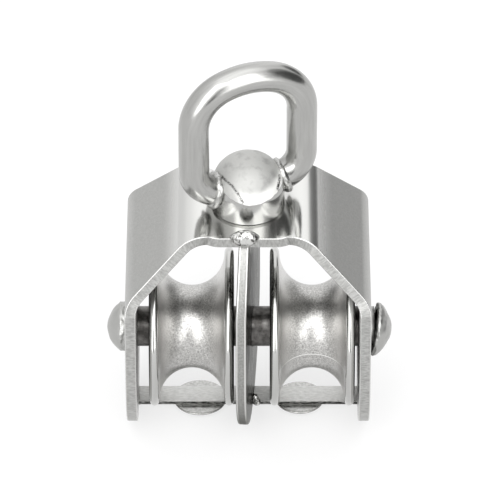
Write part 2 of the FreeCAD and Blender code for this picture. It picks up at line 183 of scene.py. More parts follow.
def steel(name, colour, roughness):
    """A new metal with one colour and one roughness, and its nodes to work on."""
    made = bpy.data.materials.new(name)
    made.use_nodes = True
    surface = made.node_tree.nodes["Principled BSDF"]
    surface.inputs["Base Color"].default_value = linear(colour)
    surface.inputs["Metallic"].default_value = 1.0
    surface.inputs["Roughness"].default_value = roughness
    return made, made.node_tree, surface


def edge_masks(tree):
    """Two masks from the stored value of a cut edge: its rounded corner and the cut itself."""
    edge = add_node(tree, "ShaderNodeAttribute", {"attribute_name": "cut_edge"}).outputs["Fac"]
    corner = add_node(tree, "ShaderNodeMapRange", None, {"Value": edge, "From Max": 0.5})
    cut = add_node(tree, "ShaderNodeMapRange", None, {"Value": edge, "From Min": 0.5})
    return corner.outputs["Result"], cut.outputs["Result"]


# %% [markdown]
# ## Finish: satin stainless sheet
#
# The roof is cold rolled 304 sheet, tumbled after bending. The eye sees a
# soft grey without sharp reflections, a fine even grain, and brighter
# metal where it was polished round the swivel. The inside of the roof is
# drawn paler as well: that is painted light in its shade. The cut edge
# shows the short slanting lines of the shear, and its corner is rubbed
# bright. Two values are stored on the mesh when the sheet is made: where
# the cut edge is, and each point's place on the flat blank. A pattern
# can't tell the edge from the face by place alone, and the shear's lines
# and the inside have to follow the bends.

# %% The satin sheet: masks and patterns
POLISHED_ROUGH = 0.17
SATIN_ROUGH = 0.37

sheet_steel, tree, surface = steel("satin_304_sheet", "B2B2B0", 0.34)
place_in = add_node(tree, "ShaderNodeTexCoord").outputs["Object"]
corner, cut = edge_masks(tree)
flat = add_node(tree, "ShaderNodeAttribute", {"attribute_name": "blank"}).outputs["Vector"]
# Tumbled grain, about 0.12 mm in the real sheet, drawn at 0.28 mm so that it shows.
grain = add_node(tree, "ShaderNodeTexNoise", None,
                 {"Vector": place_in, "Scale": 1 / (0.28 * MM), "Detail": 3.0, "Roughness": 0.65})
cloud = add_node(tree, "ShaderNodeTexNoise", None,
                 {"Vector": place_in, "Scale": 1 / (5.0 * MM), "Detail": 2.0})
# The shear leaves slanting lines across the edge, 0.2 to 0.3 mm apart and 0.8 mm long.
slant = add_node(tree, "ShaderNodeMapping", {"vector_type": "POINT"},
                 {"Vector": flat, "Rotation": (0.0, math.radians(30), 0.0),
                  "Scale": (1 / (0.22 * MM), 1 / (0.3 * MM), 1 / (0.8 * MM))})
shear = add_node(tree, "ShaderNodeTexNoise", None,
                 {"Vector": slant.outputs["Vector"], "Scale": 1.0, "Detail": 2.0, "Roughness": 0.6})
# Polished over the swivel and the two upper bends, satin from there outwards.
axes = add_node(tree, "ShaderNodeSeparateXYZ", None, {"Vector": place_in})
sideways = add_node(tree, "ShaderNodeMath", {"operation": "ABSOLUTE"}, {0: axes.outputs["X"]})
satin = add_node(tree, "ShaderNodeMapRange", {"interpolation_type": "SMOOTHSTEP"},
                 {"Value": sideways.outputs["Value"], "From Min": 10.4 * MM, "From Max": 13.4 * MM,
                  "To Min": POLISHED_ROUGH, "To Max": SATIN_ROUGH})
print("masks and patterns of", sheet_steel.name)

# %% The satin sheet: roughness
worn = add_node(tree, "ShaderNodeMapRange", None,
                {"Value": cloud.outputs["Fac"], "To Min": -0.05, "To Max": 0.05})
face_rough = add_node(tree, "ShaderNodeMath", {"operation": "ADD"},
                      {0: satin.outputs["Result"], 1: worn.outputs["Result"]})
edge_rough = add_node(tree, "ShaderNodeMix", {"data_type": "FLOAT"},
                      {"Factor": cut, "A": 0.24, "B": 0.36})
roughness = add_node(tree, "ShaderNodeMix", {"data_type": "FLOAT"},
                     {"Factor": corner, "A": face_rough.outputs["Value"],
                      "B": edge_rough.outputs["Result"]})
tree.links.new(roughness.outputs["Result"], surface.inputs["Roughness"])
print("roughness of", sheet_steel.name)

# %% The satin sheet: colour and relief
tint = add_node(tree, "ShaderNodeValToRGB", None, {"Fac": grain.outputs["Fac"]},
                [(0.32, "A0A09E"), (0.68, "B0B0AE")])
bright = add_node(tree, "ShaderNodeValToRGB", None, {"Fac": shear.outputs["Fac"]},
                  [(0.36, "969694"), (0.62, "B4B4B2")])
edge_colour = add_node(tree, "ShaderNodeMix", {"data_type": "RGBA"},
                       {"Factor": cut, 6: linear("C2C2C0"),
                        7: bright.outputs["Color"]})
# Polished metal is paler than the satin, and the inside of the sheet is painted paler, as painted
# light.
polished = add_node(tree, "ShaderNodeMapRange", None,
                    {"Value": satin.outputs["Result"],
                     "From Min": POLISHED_ROUGH, "From Max": SATIN_ROUGH,
                     "To Min": 1.0, "To Max": 0.0})
depth = add_node(tree, "ShaderNodeSeparateXYZ", None, {"Vector": flat}).outputs["Z"]
inside = add_node(tree, "ShaderNodeMapRange", None,
                  {"Value": depth, "From Min": -0.8 * SHEET * MM, "From Max": -0.5 * SHEET * MM,
                   "To Min": 1.0, "To Max": 0.0})
polish_and_painted_light = add_node(tree, "ShaderNodeMath", {"operation": "MAXIMUM"},
                {0: polished.outputs["Result"], 1: inside.outputs["Result"]})
face_colour = add_node(tree, "ShaderNodeMix", {"data_type": "RGBA"},
                       {"Factor": polish_and_painted_light.outputs["Value"], 6: tint.outputs["Color"],
                        7: linear("D2D2D0")})
colour = add_node(tree, "ShaderNodeMix", {"data_type": "RGBA"},
                  {"Factor": corner, 6: face_colour.outputs[2],
                   7: edge_colour.outputs[2]})
tree.links.new(colour.outputs[2], surface.inputs["Base Color"])
fine = add_node(tree, "ShaderNodeBump", None,
                {"Height": grain.outputs["Fac"], "Strength": 0.5, "Distance": 0.012 * MM})
cuts = add_node(tree, "ShaderNodeBump", None,
                {"Height": shear.outputs["Fac"], "Strength": cut,
                 "Distance": 0.02 * MM, "Normal": fine.outputs["Normal"]})
tree.links.new(cuts.outputs["Normal"], surface.inputs["Normal"])
print("made", sheet_steel.name)

# %% [markdown]
# ## Finish: polished bar
#
# The ring is drawn 304 bar that was bent, welded and tumbled bright. It
# mirrors the room in long soft streaks that run with the bar. Drawing
# leaves faint lines along it, so the pattern is stretched along the bar,
# on two values that the ring's own node tree stores: how far along the
# bar a point is, and where it is on the bar's round section.

# %% The polished bar
bar_steel, tree, surface = steel("drawn_304_bar", "B6B6B4", 0.13)
along = add_node(tree, "ShaderNodeAttribute", {"attribute_name": "along_bar"}).outputs["Fac"]
section = add_node(tree, "ShaderNodeAttribute", {"attribute_name": "on_section"}).outputs["Vector"]
parts = add_node(tree, "ShaderNodeSeparateXYZ", None, {"Vector": section})
drawn = add_node(tree, "ShaderNodeCombineXYZ", None,
                 {"X": parts.outputs["X"], "Y": parts.outputs["Y"], "Z": along})
# Drawing lines, 0.45 mm wide and 5 mm long: coarser than on a real 4.7 mm bar, so that they show.
pull = add_node(tree, "ShaderNodeMapping", None,
                {"Vector": drawn.outputs["Vector"],
                 "Scale": (1 / (0.45 * MM), 1 / (0.45 * MM), 1 / (5.0 * MM))})
lines = add_node(tree, "ShaderNodeTexNoise", None,
                 {"Vector": pull.outputs["Vector"], "Scale": 1.0, "Detail": 3.0, "Roughness": 0.55})
place_in = add_node(tree, "ShaderNodeTexCoord").outputs["Object"]
dents = add_node(tree, "ShaderNodeTexNoise", None,
                 {"Vector": place_in, "Scale": 1 / (2.2 * MM), "Detail": 2.0})
specks = add_node(tree, "ShaderNodeTexNoise", None,
                  {"Vector": place_in, "Scale": 1 / (0.25 * MM), "Detail": 2.0})
rough = add_node(tree, "ShaderNodeMapRange", None,
                 {"Value": dents.outputs["Fac"], "From Min": 0.3, "From Max": 0.7,
                  "To Min": 0.16, "To Max": 0.24})
tree.links.new(rough.outputs["Result"], surface.inputs["Roughness"])
shade = add_node(tree, "ShaderNodeValToRGB", None, {"Fac": lines.outputs["Fac"]},
                 [(0.3, "A2A2A0"), (0.7, "ACACAA")])
tree.links.new(shade.outputs["Color"], surface.inputs["Base Color"])
waves = add_node(tree, "ShaderNodeBump", None,
                 {"Height": dents.outputs["Fac"], "Strength": 0.5, "Distance": 0.05 * MM})
pulls = add_node(tree, "ShaderNodeBump", None,
                 {"Height": lines.outputs["Fac"], "Strength": 0.35, "Distance": 0.006 * MM,
                  "Normal": waves.outputs["Normal"]})
pits = add_node(tree, "ShaderNodeBump", None,
                {"Height": specks.outputs["Fac"], "Strength": 0.25, "Distance": 0.004 * MM,
                 "Normal": pulls.outputs["Normal"]})
tree.links.new(pits.outputs["Normal"], surface.inputs["Normal"])
print("made", bar_steel.name)

# %% [markdown]
# ## Finish: blasted wheel
#
# The wheels are cast stainless. Their grooves were blasted with grit, so
# light breaks up into fine sparkling grain, and their rims were turned
# bright. The mask between the two is the distance from the wheel's own
# axis, which is the X axis of the scene. The same distance picks out the
# groove's two flanks, which are drawn paler than its floor as painted
# light. The mould's parting line is where a slanting plane through the
# axle cuts the right wheel, and its thin bright line is a painted
# highlight, drawn by each point's distance from that plane.

# %% The cast wheels: masks and roughness
wheel_steel, tree, surface = steel("blasted_cast_steel", "B4B3B0", 0.3)
place_in = add_node(tree, "ShaderNodeTexCoord").outputs["Object"]
crosswise = add_node(tree, "ShaderNodeVectorMath", {"operation": "MULTIPLY"},
                     {0: place_in, 1: (0.0, 1.0, 1.0)})
radius = add_node(tree, "ShaderNodeVectorMath", {"operation": "LENGTH"},
                  {0: crosswise.outputs["Vector"]}).outputs["Value"]
rim = add_node(tree, "ShaderNodeMapRange", {"interpolation_type": "SMOOTHSTEP"},
               {"Value": radius, "From Min": 11.3 * MM, "From Max": 11.75 * MM}).outputs["Result"]
# Grit marks of about 0.1 mm, drawn at 0.24 mm so that they show as grain.
grit = add_node(tree, "ShaderNodeTexNoise", None,
                {"Vector": place_in, "Scale": 1 / (0.24 * MM), "Detail": 2.0, "Roughness": 0.7})
patches = add_node(tree, "ShaderNodeTexNoise", None,
                   {"Vector": place_in, "Scale": 1 / (3.0 * MM), "Detail": 3.0})
groove_rough = add_node(tree, "ShaderNodeMapRange", None,
                        {"Value": patches.outputs["Fac"], "From Min": 0.3, "From Max": 0.7,
                         "To Min": 0.3, "To Max": 0.38})
roughness = add_node(tree, "ShaderNodeMix", {"data_type": "FLOAT"},
                     {"Factor": rim, "A": groove_rough.outputs["Result"], "B": 0.12})
tree.links.new(roughness.outputs["Result"], surface.inputs["Roughness"])
print("roughness of", wheel_steel.name)

# %% The cast wheels: colour
shade = add_node(tree, "ShaderNodeValToRGB", None, {"Fac": grit.outputs["Fac"]},
                 [(0.35, "949391"), (0.65, "CECDCB")])
# Painted light: the groove's two flanks are drawn paler than its floor.
flank_painted_light = add_node(tree, "ShaderNodeMapRange", {"interpolation_type": "SMOOTHSTEP"},
                 {"Value": radius, "From Min": 7.0 * MM, "From Max": 9.2 * MM, "To Max": 0.7})
flanks_painted_light = add_node(tree, "ShaderNodeMix", {"data_type": "RGBA"},
                  {"Factor": flank_painted_light.outputs["Result"], 6: shade.outputs["Color"],
                   7: linear("E6E5E3")})
plain = add_node(tree, "ShaderNodeMix", {"data_type": "RGBA"},
                 {"Factor": rim, 6: flanks_painted_light.outputs[2], 7: linear("B8B8B6")})
print("colour of", wheel_steel.name)

# %% The cast wheels: the parting line's painted highlight, and relief
# A painted highlight on the parting line: a thin bright arc, this many degrees below the middle of the
# right wheel's front.
PARTING = 3.4
tilt = math.radians(PARTING)
off = add_node(tree, "ShaderNodeVectorMath", {"operation": "DOT_PRODUCT"},
               {0: place_in, 1: (0.0, -math.sin(tilt), math.cos(tilt))}).outputs["Value"]
off = add_node(tree, "ShaderNodeMath", {"operation": "ABSOLUTE"}, {0: off}).outputs["Value"]
parting_highlight = add_node(tree, "ShaderNodeMapRange", None,
                     {"Value": off, "From Min": 0.05 * MM, "From Max": 0.12 * MM,
                      "To Min": 1.0, "To Max": 0.0}).outputs["Result"]
groove_axes = add_node(tree, "ShaderNodeSeparateXYZ", None, {"Vector": place_in})
on_right = add_node(tree, "ShaderNodeMath", {"operation": "GREATER_THAN"},
                    {0: groove_axes.outputs["X"], 1: 0.0}).outputs["Value"]
in_front = add_node(tree, "ShaderNodeMath", {"operation": "LESS_THAN"},
                    {0: groove_axes.outputs["Y"], 1: 0.0}).outputs["Value"]
in_groove = add_node(tree, "ShaderNodeMath", {"operation": "SUBTRACT"},
                     {0: 1.0, 1: rim}).outputs["Value"]
for other in (on_right, in_front, in_groove):
    parting_highlight = add_node(tree, "ShaderNodeMath", {"operation": "MULTIPLY"},
                         {0: parting_highlight, 1: other}).outputs["Value"]
with_parting_highlight = add_node(tree, "ShaderNodeMix", {"data_type": "RGBA"},
                     {"Factor": parting_highlight, 6: plain.outputs[2], 7: linear("F4F4F2")})
tree.links.new(with_parting_highlight.outputs[2], surface.inputs["Base Color"])
depth = add_node(tree, "ShaderNodeMapRange", None,
                 {"Value": rim, "To Min": 0.9, "To Max": 0.08}).outputs["Result"]
blast = add_node(tree, "ShaderNodeBump", None,
                 {"Height": grit.outputs["Fac"], "Strength": depth, "Distance": 0.03 * MM})
tree.links.new(blast.outputs["Normal"], surface.inputs["Normal"])
print("made", wheel_steel.name)

# %% [markdown]
# ## Finish: polished plate
#
# The middle plate was laser cut, tumbled and scratched by the wheels. Its
# sides mirror the wheels with a soft blur, its narrow front is rough from
# the cut, and black spots of scale sit beside the axle. The narrow front
# is told from the sides by the stored mask of the cut edge.

# %% The polished plate: masks and roughness
plate_steel, tree, surface = steel("tumbled_304_plate", "ACACAA", 0.2)
# The sides are hazy, so they stay dull at a glancing angle too: the metal's edge tint is grey.
surface.inputs["Specular Tint"].default_value = linear("8C8C8A")
place_in = add_node(tree, "ShaderNodeTexCoord").outputs["Object"]
corner, cut = edge_masks(tree)
cut_grain = add_node(tree, "ShaderNodeTexNoise", None,
                     {"Vector": place_in, "Scale": 1 / (0.28 * MM), "Detail": 3.0, "Roughness": 0.65})
smear = add_node(tree, "ShaderNodeMapping", None,
                 {"Vector": place_in, "Scale": (1 / (1.2 * MM), 1 / (0.5 * MM), 1 / (5.0 * MM))})
scratches = add_node(tree, "ShaderNodeTexNoise", None,
                     {"Vector": smear.outputs["Vector"], "Scale": 1.0, "Detail": 4.0})
rough_side = add_node(tree, "ShaderNodeMapRange", None,
                      {"Value": scratches.outputs["Fac"], "From Min": 0.3, "From Max": 0.7,
                       "To Min": 0.14, "To Max": 0.3})
edge_rough = add_node(tree, "ShaderNodeMix", {"data_type": "FLOAT"},
                      {"Factor": cut, "A": 0.2, "B": 0.38})
roughness = add_node(tree, "ShaderNodeMix", {"data_type": "FLOAT"},
                     {"Factor": corner, "A": rough_side.outputs["Result"],
                      "B": edge_rough.outputs["Result"]})
tree.links.new(roughness.outputs["Result"], surface.inputs["Roughness"])
print("roughness of", plate_steel.name)

# %% The polished plate: colour and relief
# Scale spots, 0.5 to 1 mm across, only near the middle of the axle.
spots = add_node(tree, "ShaderNodeTexNoise", None,
                 {"Vector": place_in, "Scale": 1 / (1.4 * MM), "Detail": 2.0, "Roughness": 0.6})
near = add_node(tree, "ShaderNodeVectorMath", {"operation": "LENGTH"}, {0: place_in})
nearness = add_node(tree, "ShaderNodeMapRange", None,
                    {"Value": near.outputs["Value"], "From Min": 4.5 * MM, "From Max": 8.0 * MM,
                     "To Min": 0.03, "To Max": -0.2})
scale_at = add_node(tree, "ShaderNodeMath", {"operation": "ADD"},
                    {0: spots.outputs["Fac"], 1: nearness.outputs["Result"]})
scale_mask = add_node(tree, "ShaderNodeMapRange", None,
                      {"Value": scale_at.outputs["Value"], "From Min": 0.56, "From Max": 0.62})
shade = add_node(tree, "ShaderNodeValToRGB", None, {"Fac": cut_grain.outputs["Fac"]},
                 [(0.3, "7E7E7C"), (0.7, "A4A4A2")])
haze = add_node(tree, "ShaderNodeValToRGB", None, {"Fac": scratches.outputs["Fac"]},
                [(0.35, "6A6A68"), (0.65, "9C9C9A")])
edge_colour = add_node(tree, "ShaderNodeMix", {"data_type": "RGBA"},
                       {"Factor": cut, 6: linear("CECECC"),
                        7: shade.outputs["Color"]})
side_colour = add_node(tree, "ShaderNodeMix", {"data_type": "RGBA"},
                       {"Factor": scale_mask.outputs["Result"], 6: haze.outputs["Color"],
                        7: linear("242321")})
colour = add_node(tree, "ShaderNodeMix", {"data_type": "RGBA"},
                  {"Factor": corner, 6: side_colour.outputs[2],
                   7: edge_colour.outputs[2]})
tree.links.new(colour.outputs[2], surface.inputs["Base Color"])
fine = add_node(tree, "ShaderNodeBump", None,
                {"Height": cut_grain.outputs["Fac"], "Strength": cut,
                 "Distance": 0.02 * MM})
long_marks = add_node(tree, "ShaderNodeBump", None,
                      {"Height": scratches.outputs["Fac"], "Strength": 0.4, "Distance": 0.03 * MM,
                       "Normal": fine.outputs["Normal"]})
tree.links.new(long_marks.outputs["Normal"], surface.inputs["Normal"])
print("made", plate_steel.name)

# %% [markdown]
# ## Finish: turned pin with a ground dome
#
# The swivel's head was turned, which leaves its wall like a mirror. After
# the ring was welded on, the dome was ground by hand, so it is pale and
# mottled down to a line that dips at the front. The line is a curve in
# the scene's own X and Z, so the mask is worked out from place. The front
# right, just over the line, gets a painted highlight: it is drawn whiter.
# Where the dome cracked, it is dark, and that mask is stored on the mesh
# when the crack is pushed in.

# %% The turned pin: the ground zone
pin_steel, tree, surface = steel("turned_304_pin", "B6B6B4", 0.1)
place_in = add_node(tree, "ShaderNodeTexCoord").outputs["Object"]
axes = add_node(tree, "ShaderNodeSeparateXYZ", None, {"Vector": place_in})
aside = add_node(tree, "ShaderNodeMath", {"operation": "SUBTRACT"},
                 {0: axes.outputs["X"], 1: 0.9 * MM}).outputs["Value"]
squared = add_node(tree, "ShaderNodeMath", {"operation": "MULTIPLY"}, {0: aside, 1: aside})
line = add_node(tree, "ShaderNodeMath", {"operation": "MULTIPLY_ADD"},
                {0: squared.outputs["Value"], 1: 0.06 / MM, 2: 28.3 * MM})
wander = add_node(tree, "ShaderNodeTexNoise", None,
                  {"Vector": place_in, "Scale": 1 / (1.2 * MM), "Detail": 2.0})
over = add_node(tree, "ShaderNodeMath", {"operation": "SUBTRACT"},
                {0: axes.outputs["Z"], 1: line.outputs["Value"]})
shift = add_node(tree, "ShaderNodeMath", {"operation": "MULTIPLY_ADD"},
                 {0: wander.outputs["Fac"], 1: 0.5 * MM, 2: over.outputs["Value"]})
ground = add_node(tree, "ShaderNodeMapRange", {"interpolation_type": "SMOOTHSTEP"},
                  {"Value": shift.outputs["Value"], "From Min": 0.12 * MM,
                   "From Max": 0.22 * MM}).outputs["Result"]
print("ground zone of", pin_steel.name)

# %% The turned pin: roughness and colour
mottle = add_node(tree, "ShaderNodeTexNoise", None,
                  {"Vector": place_in, "Scale": 1 / (1.6 * MM), "Detail": 5.0, "Roughness": 0.6})
grit = add_node(tree, "ShaderNodeTexNoise", None,
                {"Vector": place_in, "Scale": 1 / (0.22 * MM), "Detail": 2.0})
ground_rough = add_node(tree, "ShaderNodeMapRange", None,
                        {"Value": mottle.outputs["Fac"], "From Min": 0.3, "From Max": 0.7,
                         "To Min": 0.68, "To Max": 0.76})
roughness = add_node(tree, "ShaderNodeMix", {"data_type": "FLOAT"},
                     {"Factor": ground, "A": 0.2, "B": ground_rough.outputs["Result"]})
tree.links.new(roughness.outputs["Result"], surface.inputs["Roughness"])
pale = add_node(tree, "ShaderNodeValToRGB", None, {"Fac": mottle.outputs["Fac"]},
                [(0.34, "ACACAA"), (0.5, "BEBEBC")])
# Painted highlight: the front right of the dome, just over the line, is drawn whiter.
low = add_node(tree, "ShaderNodeMapRange", {"interpolation_type": "SMOOTHSTEP"},
               {"Value": shift.outputs["Value"], "From Min": 1.2 * MM, "From Max": 2.6 * MM,
                "To Min": 1.0, "To Max": 0.0})
right_of = add_node(tree, "ShaderNodeMapRange", {"interpolation_type": "SMOOTHSTEP"},
                    {"Value": aside, "From Min": -3.4 * MM, "From Max": -1.4 * MM})
dome_painted_highlight = add_node(tree, "ShaderNodeMath", {"operation": "MULTIPLY"},
                 {0: low.outputs["Result"], 1: right_of.outputs["Result"]})
dome_colour_with_highlight = add_node(tree, "ShaderNodeMix", {"data_type": "RGBA"},
                        {"Factor": dome_painted_highlight.outputs["Value"], 6: pale.outputs["Color"],
                         7: linear("EEEEEC")})
colour = add_node(tree, "ShaderNodeMix", {"data_type": "RGBA"},
                  {"Factor": ground, 6: linear("ACACAA"), 7: dome_colour_with_highlight.outputs[2]})
print("colour of", pin_steel.name)

# %% The turned pin: crack and relief
crack = add_node(tree, "ShaderNodeAttribute", {"attribute_name": "crack"}).outputs["Fac"]
broken = add_node(tree, "ShaderNodeMapRange", None,
                  {"Value": grit.outputs["Fac"], "From Min": 0.38, "From Max": 0.5})
dark = add_node(tree, "ShaderNodeMath", {"operation": "MULTIPLY"},
                {0: crack, 1: broken.outputs["Result"]})
marked = add_node(tree, "ShaderNodeMix", {"data_type": "RGBA"},
                  {"Factor": dark.outputs["Value"], 6: colour.outputs[2], 7: linear("2C2B29")})
tree.links.new(marked.outputs[2], surface.inputs["Base Color"])
ground_marks = add_node(tree, "ShaderNodeBump", None,
                        {"Height": mottle.outputs["Fac"], "Strength": ground, "Distance": 0.018 * MM})
ground_grit = add_node(tree, "ShaderNodeBump", None,
                       {"Height": grit.outputs["Fac"], "Strength": ground, "Distance": 0.004 * MM,
                        "Normal": ground_marks.outputs["Normal"]})
tree.links.new(ground_grit.outputs["Normal"], surface.inputs["Normal"])
print("made", pin_steel.name)

# %% [markdown]
# ## Finish: rivet and guard strips
#
# The rivet's heads are hammered and tumbled grey, and its shaft between
# the cheeks is painted dark, as painted shade, so the mask is the distance
# from the middle of the axle. The guard strips were sheared from cheap
# strip. They keep its mill grain on top, and their narrow edge is painted
# dark, as painted shade streaked by the grain.

# %% The hammered rivet
rivet_steel, tree, surface = steel("hammered_rivet_steel", "ADADAB", 0.36)
place_in = add_node(tree, "ShaderNodeTexCoord").outputs["Object"]
axes = add_node(tree, "ShaderNodeSeparateXYZ", None, {"Vector": place_in})
width = add_node(tree, "ShaderNodeMath", {"operation": "ABSOLUTE"}, {0: axes.outputs["X"]})
shaft_painted_shade = add_node(tree, "ShaderNodeMapRange", None,
                  {"Value": width.outputs["Value"], "From Min": 17.9 * MM, "From Max": 18.1 * MM,
                   "To Min": 1.0, "To Max": 0.0}).outputs["Result"]
# The painted shade on the shaft is cloudy, in patches of 1.5 mm, and the hammer's marks are 0.3 mm
# across.
cloud = add_node(tree, "ShaderNodeTexNoise", None,
                 {"Vector": place_in, "Scale": 1 / (1.5 * MM), "Detail": 4.0, "Roughness": 0.6})
shaft_shade_patches = add_node(tree, "ShaderNodeValToRGB", None, {"Fac": cloud.outputs["Fac"]},
                [(0.4, "504E4C"), (0.75, "949290")])
colour = add_node(tree, "ShaderNodeMix", {"data_type": "RGBA"},
                  {"Factor": shaft_painted_shade, 6: linear("A8A8A6"), 7: shaft_shade_patches.outputs["Color"]})
tree.links.new(colour.outputs[2], surface.inputs["Base Color"])
peen = add_node(tree, "ShaderNodeTexNoise", None,
                {"Vector": place_in, "Scale": 1 / (0.3 * MM), "Detail": 3.0})
marks = add_node(tree, "ShaderNodeBump", None,
                 {"Height": peen.outputs["Fac"], "Strength": 0.35, "Distance": 0.012 * MM})
tree.links.new(marks.outputs["Normal"], surface.inputs["Normal"])
print("made", rivet_steel.name)

# %% The guard strips
strip_steel, tree, surface = steel("mill_finish_strip", "C0C0BD", 0.36)
place_in = add_node(tree, "ShaderNodeTexCoord").outputs["Object"]
cut = edge_masks(tree)[1]
# Mill grain, 0.25 mm wide and 0.8 mm long, as coarse as it needs to be to show.
rolled = add_node(tree, "ShaderNodeMapping", None,
                  {"Vector": place_in, "Scale": (1 / (0.8 * MM), 1 / (0.25 * MM), 1 / (0.25 * MM))})
mill = add_node(tree, "ShaderNodeTexNoise", None,
                {"Vector": rolled.outputs["Vector"], "Scale": 1.0, "Detail": 4.0, "Roughness": 0.7})
shade = add_node(tree, "ShaderNodeValToRGB", None, {"Fac": mill.outputs["Fac"]},
                 [(0.3, "A6A6A4"), (0.65, "C6C6C4")])
# Painted shade: the strip's narrow cut edge is drawn dark, streaked by the mill grain.
edge_painted_shade = add_node(tree, "ShaderNodeValToRGB", None, {"Fac": mill.outputs["Fac"]},
                [(0.42, "242422"), (0.62, "868684")])
colour = add_node(tree, "ShaderNodeMix", {"data_type": "RGBA"},
                  {"Factor": cut, 6: shade.outputs["Color"], 7: edge_painted_shade.outputs["Color"]})
tree.links.new(colour.outputs[2], surface.inputs["Base Color"])
marks = add_node(tree, "ShaderNodeBump", None,
                 {"Height": mill.outputs["Fac"], "Strength": 0.6, "Distance": 0.03 * MM})
tree.links.new(marks.outputs["Normal"], surface.inputs["Normal"])
print("made", strip_steel.name)

# %% [markdown]
# ## Finish: buttons and welds
#
# Three more finishes of the same metal differ in their numbers alone, so
# one function makes them: a cloudy pattern that changes the colour and
# lifts the surface. The pressed buttons are smooth and grey. A weld froze
# from a liquid, so it is very smooth and bright, with dark soot in its
# wrinkles. The ring's welds were ground, so they are dull and scratched.

# %% The buttons and the welds
def flecked(name, colour, roughness, pattern, stops, lift):
    """A metal with one pattern: its size in mm, detail and roughness, and its lift and depth in mm."""
    made, tree, surface = steel(name, colour, roughness)
    size, detail, rough = pattern
    strength, depth = lift
    place_in = add_node(tree, "ShaderNodeTexCoord").outputs["Object"]
    flecks = add_node(tree, "ShaderNodeTexNoise", None,
                      {"Vector": place_in, "Scale": 1 / (size * MM), "Detail": detail,
                       "Roughness": rough})
    shade = add_node(tree, "ShaderNodeValToRGB", None, {"Fac": flecks.outputs["Fac"]}, stops)
    tree.links.new(shade.outputs["Color"], surface.inputs["Base Color"])
    marks = add_node(tree, "ShaderNodeBump", None,
                     {"Height": flecks.outputs["Fac"], "Strength": strength,
                      "Distance": depth * MM})
    tree.links.new(marks.outputs["Normal"], surface.inputs["Normal"])
    print("made", name)
    return made


button_steel = flecked("pressed_button_steel", "767674", 0.26, (0.5, 4.0, 0.6),
                       [(0.3, "989896"), (0.7, "BEBEBC")], (0.4, 0.02))
weld_steel = flecked("frozen_weld_pool", "C4C4C2", 0.14, (0.7, 3.0, 0.6),
                     [(0.38, "4E4D4B"), (0.5, "CACAC8")], (0.6, 0.09))
ground_weld_steel = flecked("ground_weld_metal", "A8A8A6", 0.34, (0.45, 4.0, 0.65),
                            [(0.36, "767674"), (0.5, "B0B0AE")], (0.5, 0.06))

# %% [markdown]
# ## Flat metal with a rounded edge
#
# The roof, the middle plate and the guard strips all start as flat metal
# cut to an outline. One function makes such a blank: the outline is drawn
# a few times, each a little further in, to round the sharp corner of the
# cut, and the two faces are filled between the outline and the holes.
# The same function marks the cut edge with a value from 0 to 1, which the
# finishes read. A rounded corner catches the light as a thin bright line,
# and that line is what makes sheet metal look real.

# %% A blank of flat metal
EDGE_STEPS = 4


def moved_in(outline, distance):
    """The outline, counter-clockwise, with every corner moved inwards by the distance."""
    moved = []
    for i, here in enumerate(outline):
        before, after = Vector(outline[i - 1]), Vector(outline[(i + 1) % len(outline)])
        here = Vector(here)
        first, second = (here - before).normalized(), (after - here).normalized()
        inward = Vector((-first.y - second.y, first.x + second.x)).normalized()
        shrink = max(0.3, inward.dot(Vector((-first.y, first.x))))
        moved.append(tuple(here + inward * distance / shrink))
    return moved


def circle(x, y, radius, count=64):
    """A hole, drawn clockwise, so that moving it in makes it wider."""
    return [(x + radius * math.cos(2 * math.pi * i / count),
             y - radius * math.sin(2 * math.pi * i / count)) for i in range(count)]


def cut_blank(name, outline, holes, thickness, arris, cuts=()):
    """Flat metal between height 0 and minus its thickness, with the mask of its cut edge."""
    work = bmesh.new()
    mask = work.faces.layers.float.new("cut_edge")
    levels = [(arris * (1 - math.sin(a)), -arris * (1 - math.cos(a)))
              for a in (math.pi / 2 * i / EDGE_STEPS for i in range(EDGE_STEPS + 1))]
    levels += [(inset, -thickness - height) for inset, height in reversed(levels)]
    rims = ([], [])
    for loop in [outline, *holes]:
        rows = [[work.verts.new((x, y, height)) for x, y in moved_in(loop, inset)]
                for inset, height in levels]
        for number, (upper, lower) in enumerate(zip(rows, rows[1:])):
            for i in range(len(loop)):
                j = (i + 1) % len(loop)
                face = work.faces.new((upper[i], upper[j], lower[j], lower[i]))
                face[mask] = 1.0 if number == EDGE_STEPS else 0.5
        for rim, row in zip(rims, (rows[0], rows[-1])):
            rim += [work.edges.get((row[i], row[(i + 1) % len(row)])) for i in range(len(row))]
    for rim in rims:
        bmesh.ops.triangle_fill(work, use_beauty=True, use_dissolve=False, edges=rim)
    for x in cuts:
        bmesh.ops.bisect_plane(work, geom=work.verts[:] + work.edges[:] + work.faces[:],
                               dist=0.001 * MM, plane_co=(x, 0, 0), plane_no=(1, 0, 0))
    bmesh.ops.recalc_face_normals(work, faces=work.faces)
    mesh = bpy.data.meshes.new(name)
    work.to_mesh(mesh)
    work.free()
    mesh.shade_smooth()
    return in_scene(name, mesh)


def even_light(piece):
    """Lets the large faces decide the shading, so that flat metal looks flat up to its edge."""
    finish = piece.modifiers.new("even_light", "WEIGHTED_NORMAL")
    finish.weight = 100
    return piece


# %% [markdown]
# ## Node trees that follow a path
#
# The next steps use Geometry Nodes. A tree is made once, with named inputs
# for its sizes, and run on a carrier object. What comes out is turned into
# a plain mesh, so that nothing in the finished scene depends on the tree.
# Four helpers do this: one starts a tree with its inputs, one closes it,
# one runs it, and one draws the line that a tree follows.

# %% Starting and running a tree
def start_tree(name, inputs):
    """A tree with named inputs; returns it with its input and output nodes."""
    tree = bpy.data.node_groups.new(name, "GeometryNodeTree")
    tree.interface.new_socket("Geometry", in_out="INPUT", socket_type="NodeSocketGeometry")
    for label, kind in inputs.items():
        tree.interface.new_socket(label, in_out="INPUT", socket_type="NodeSocket" + kind)
    tree.interface.new_socket("Geometry", in_out="OUTPUT", socket_type="NodeSocketGeometry")
    return tree, add_node(tree, "NodeGroupInput").outputs


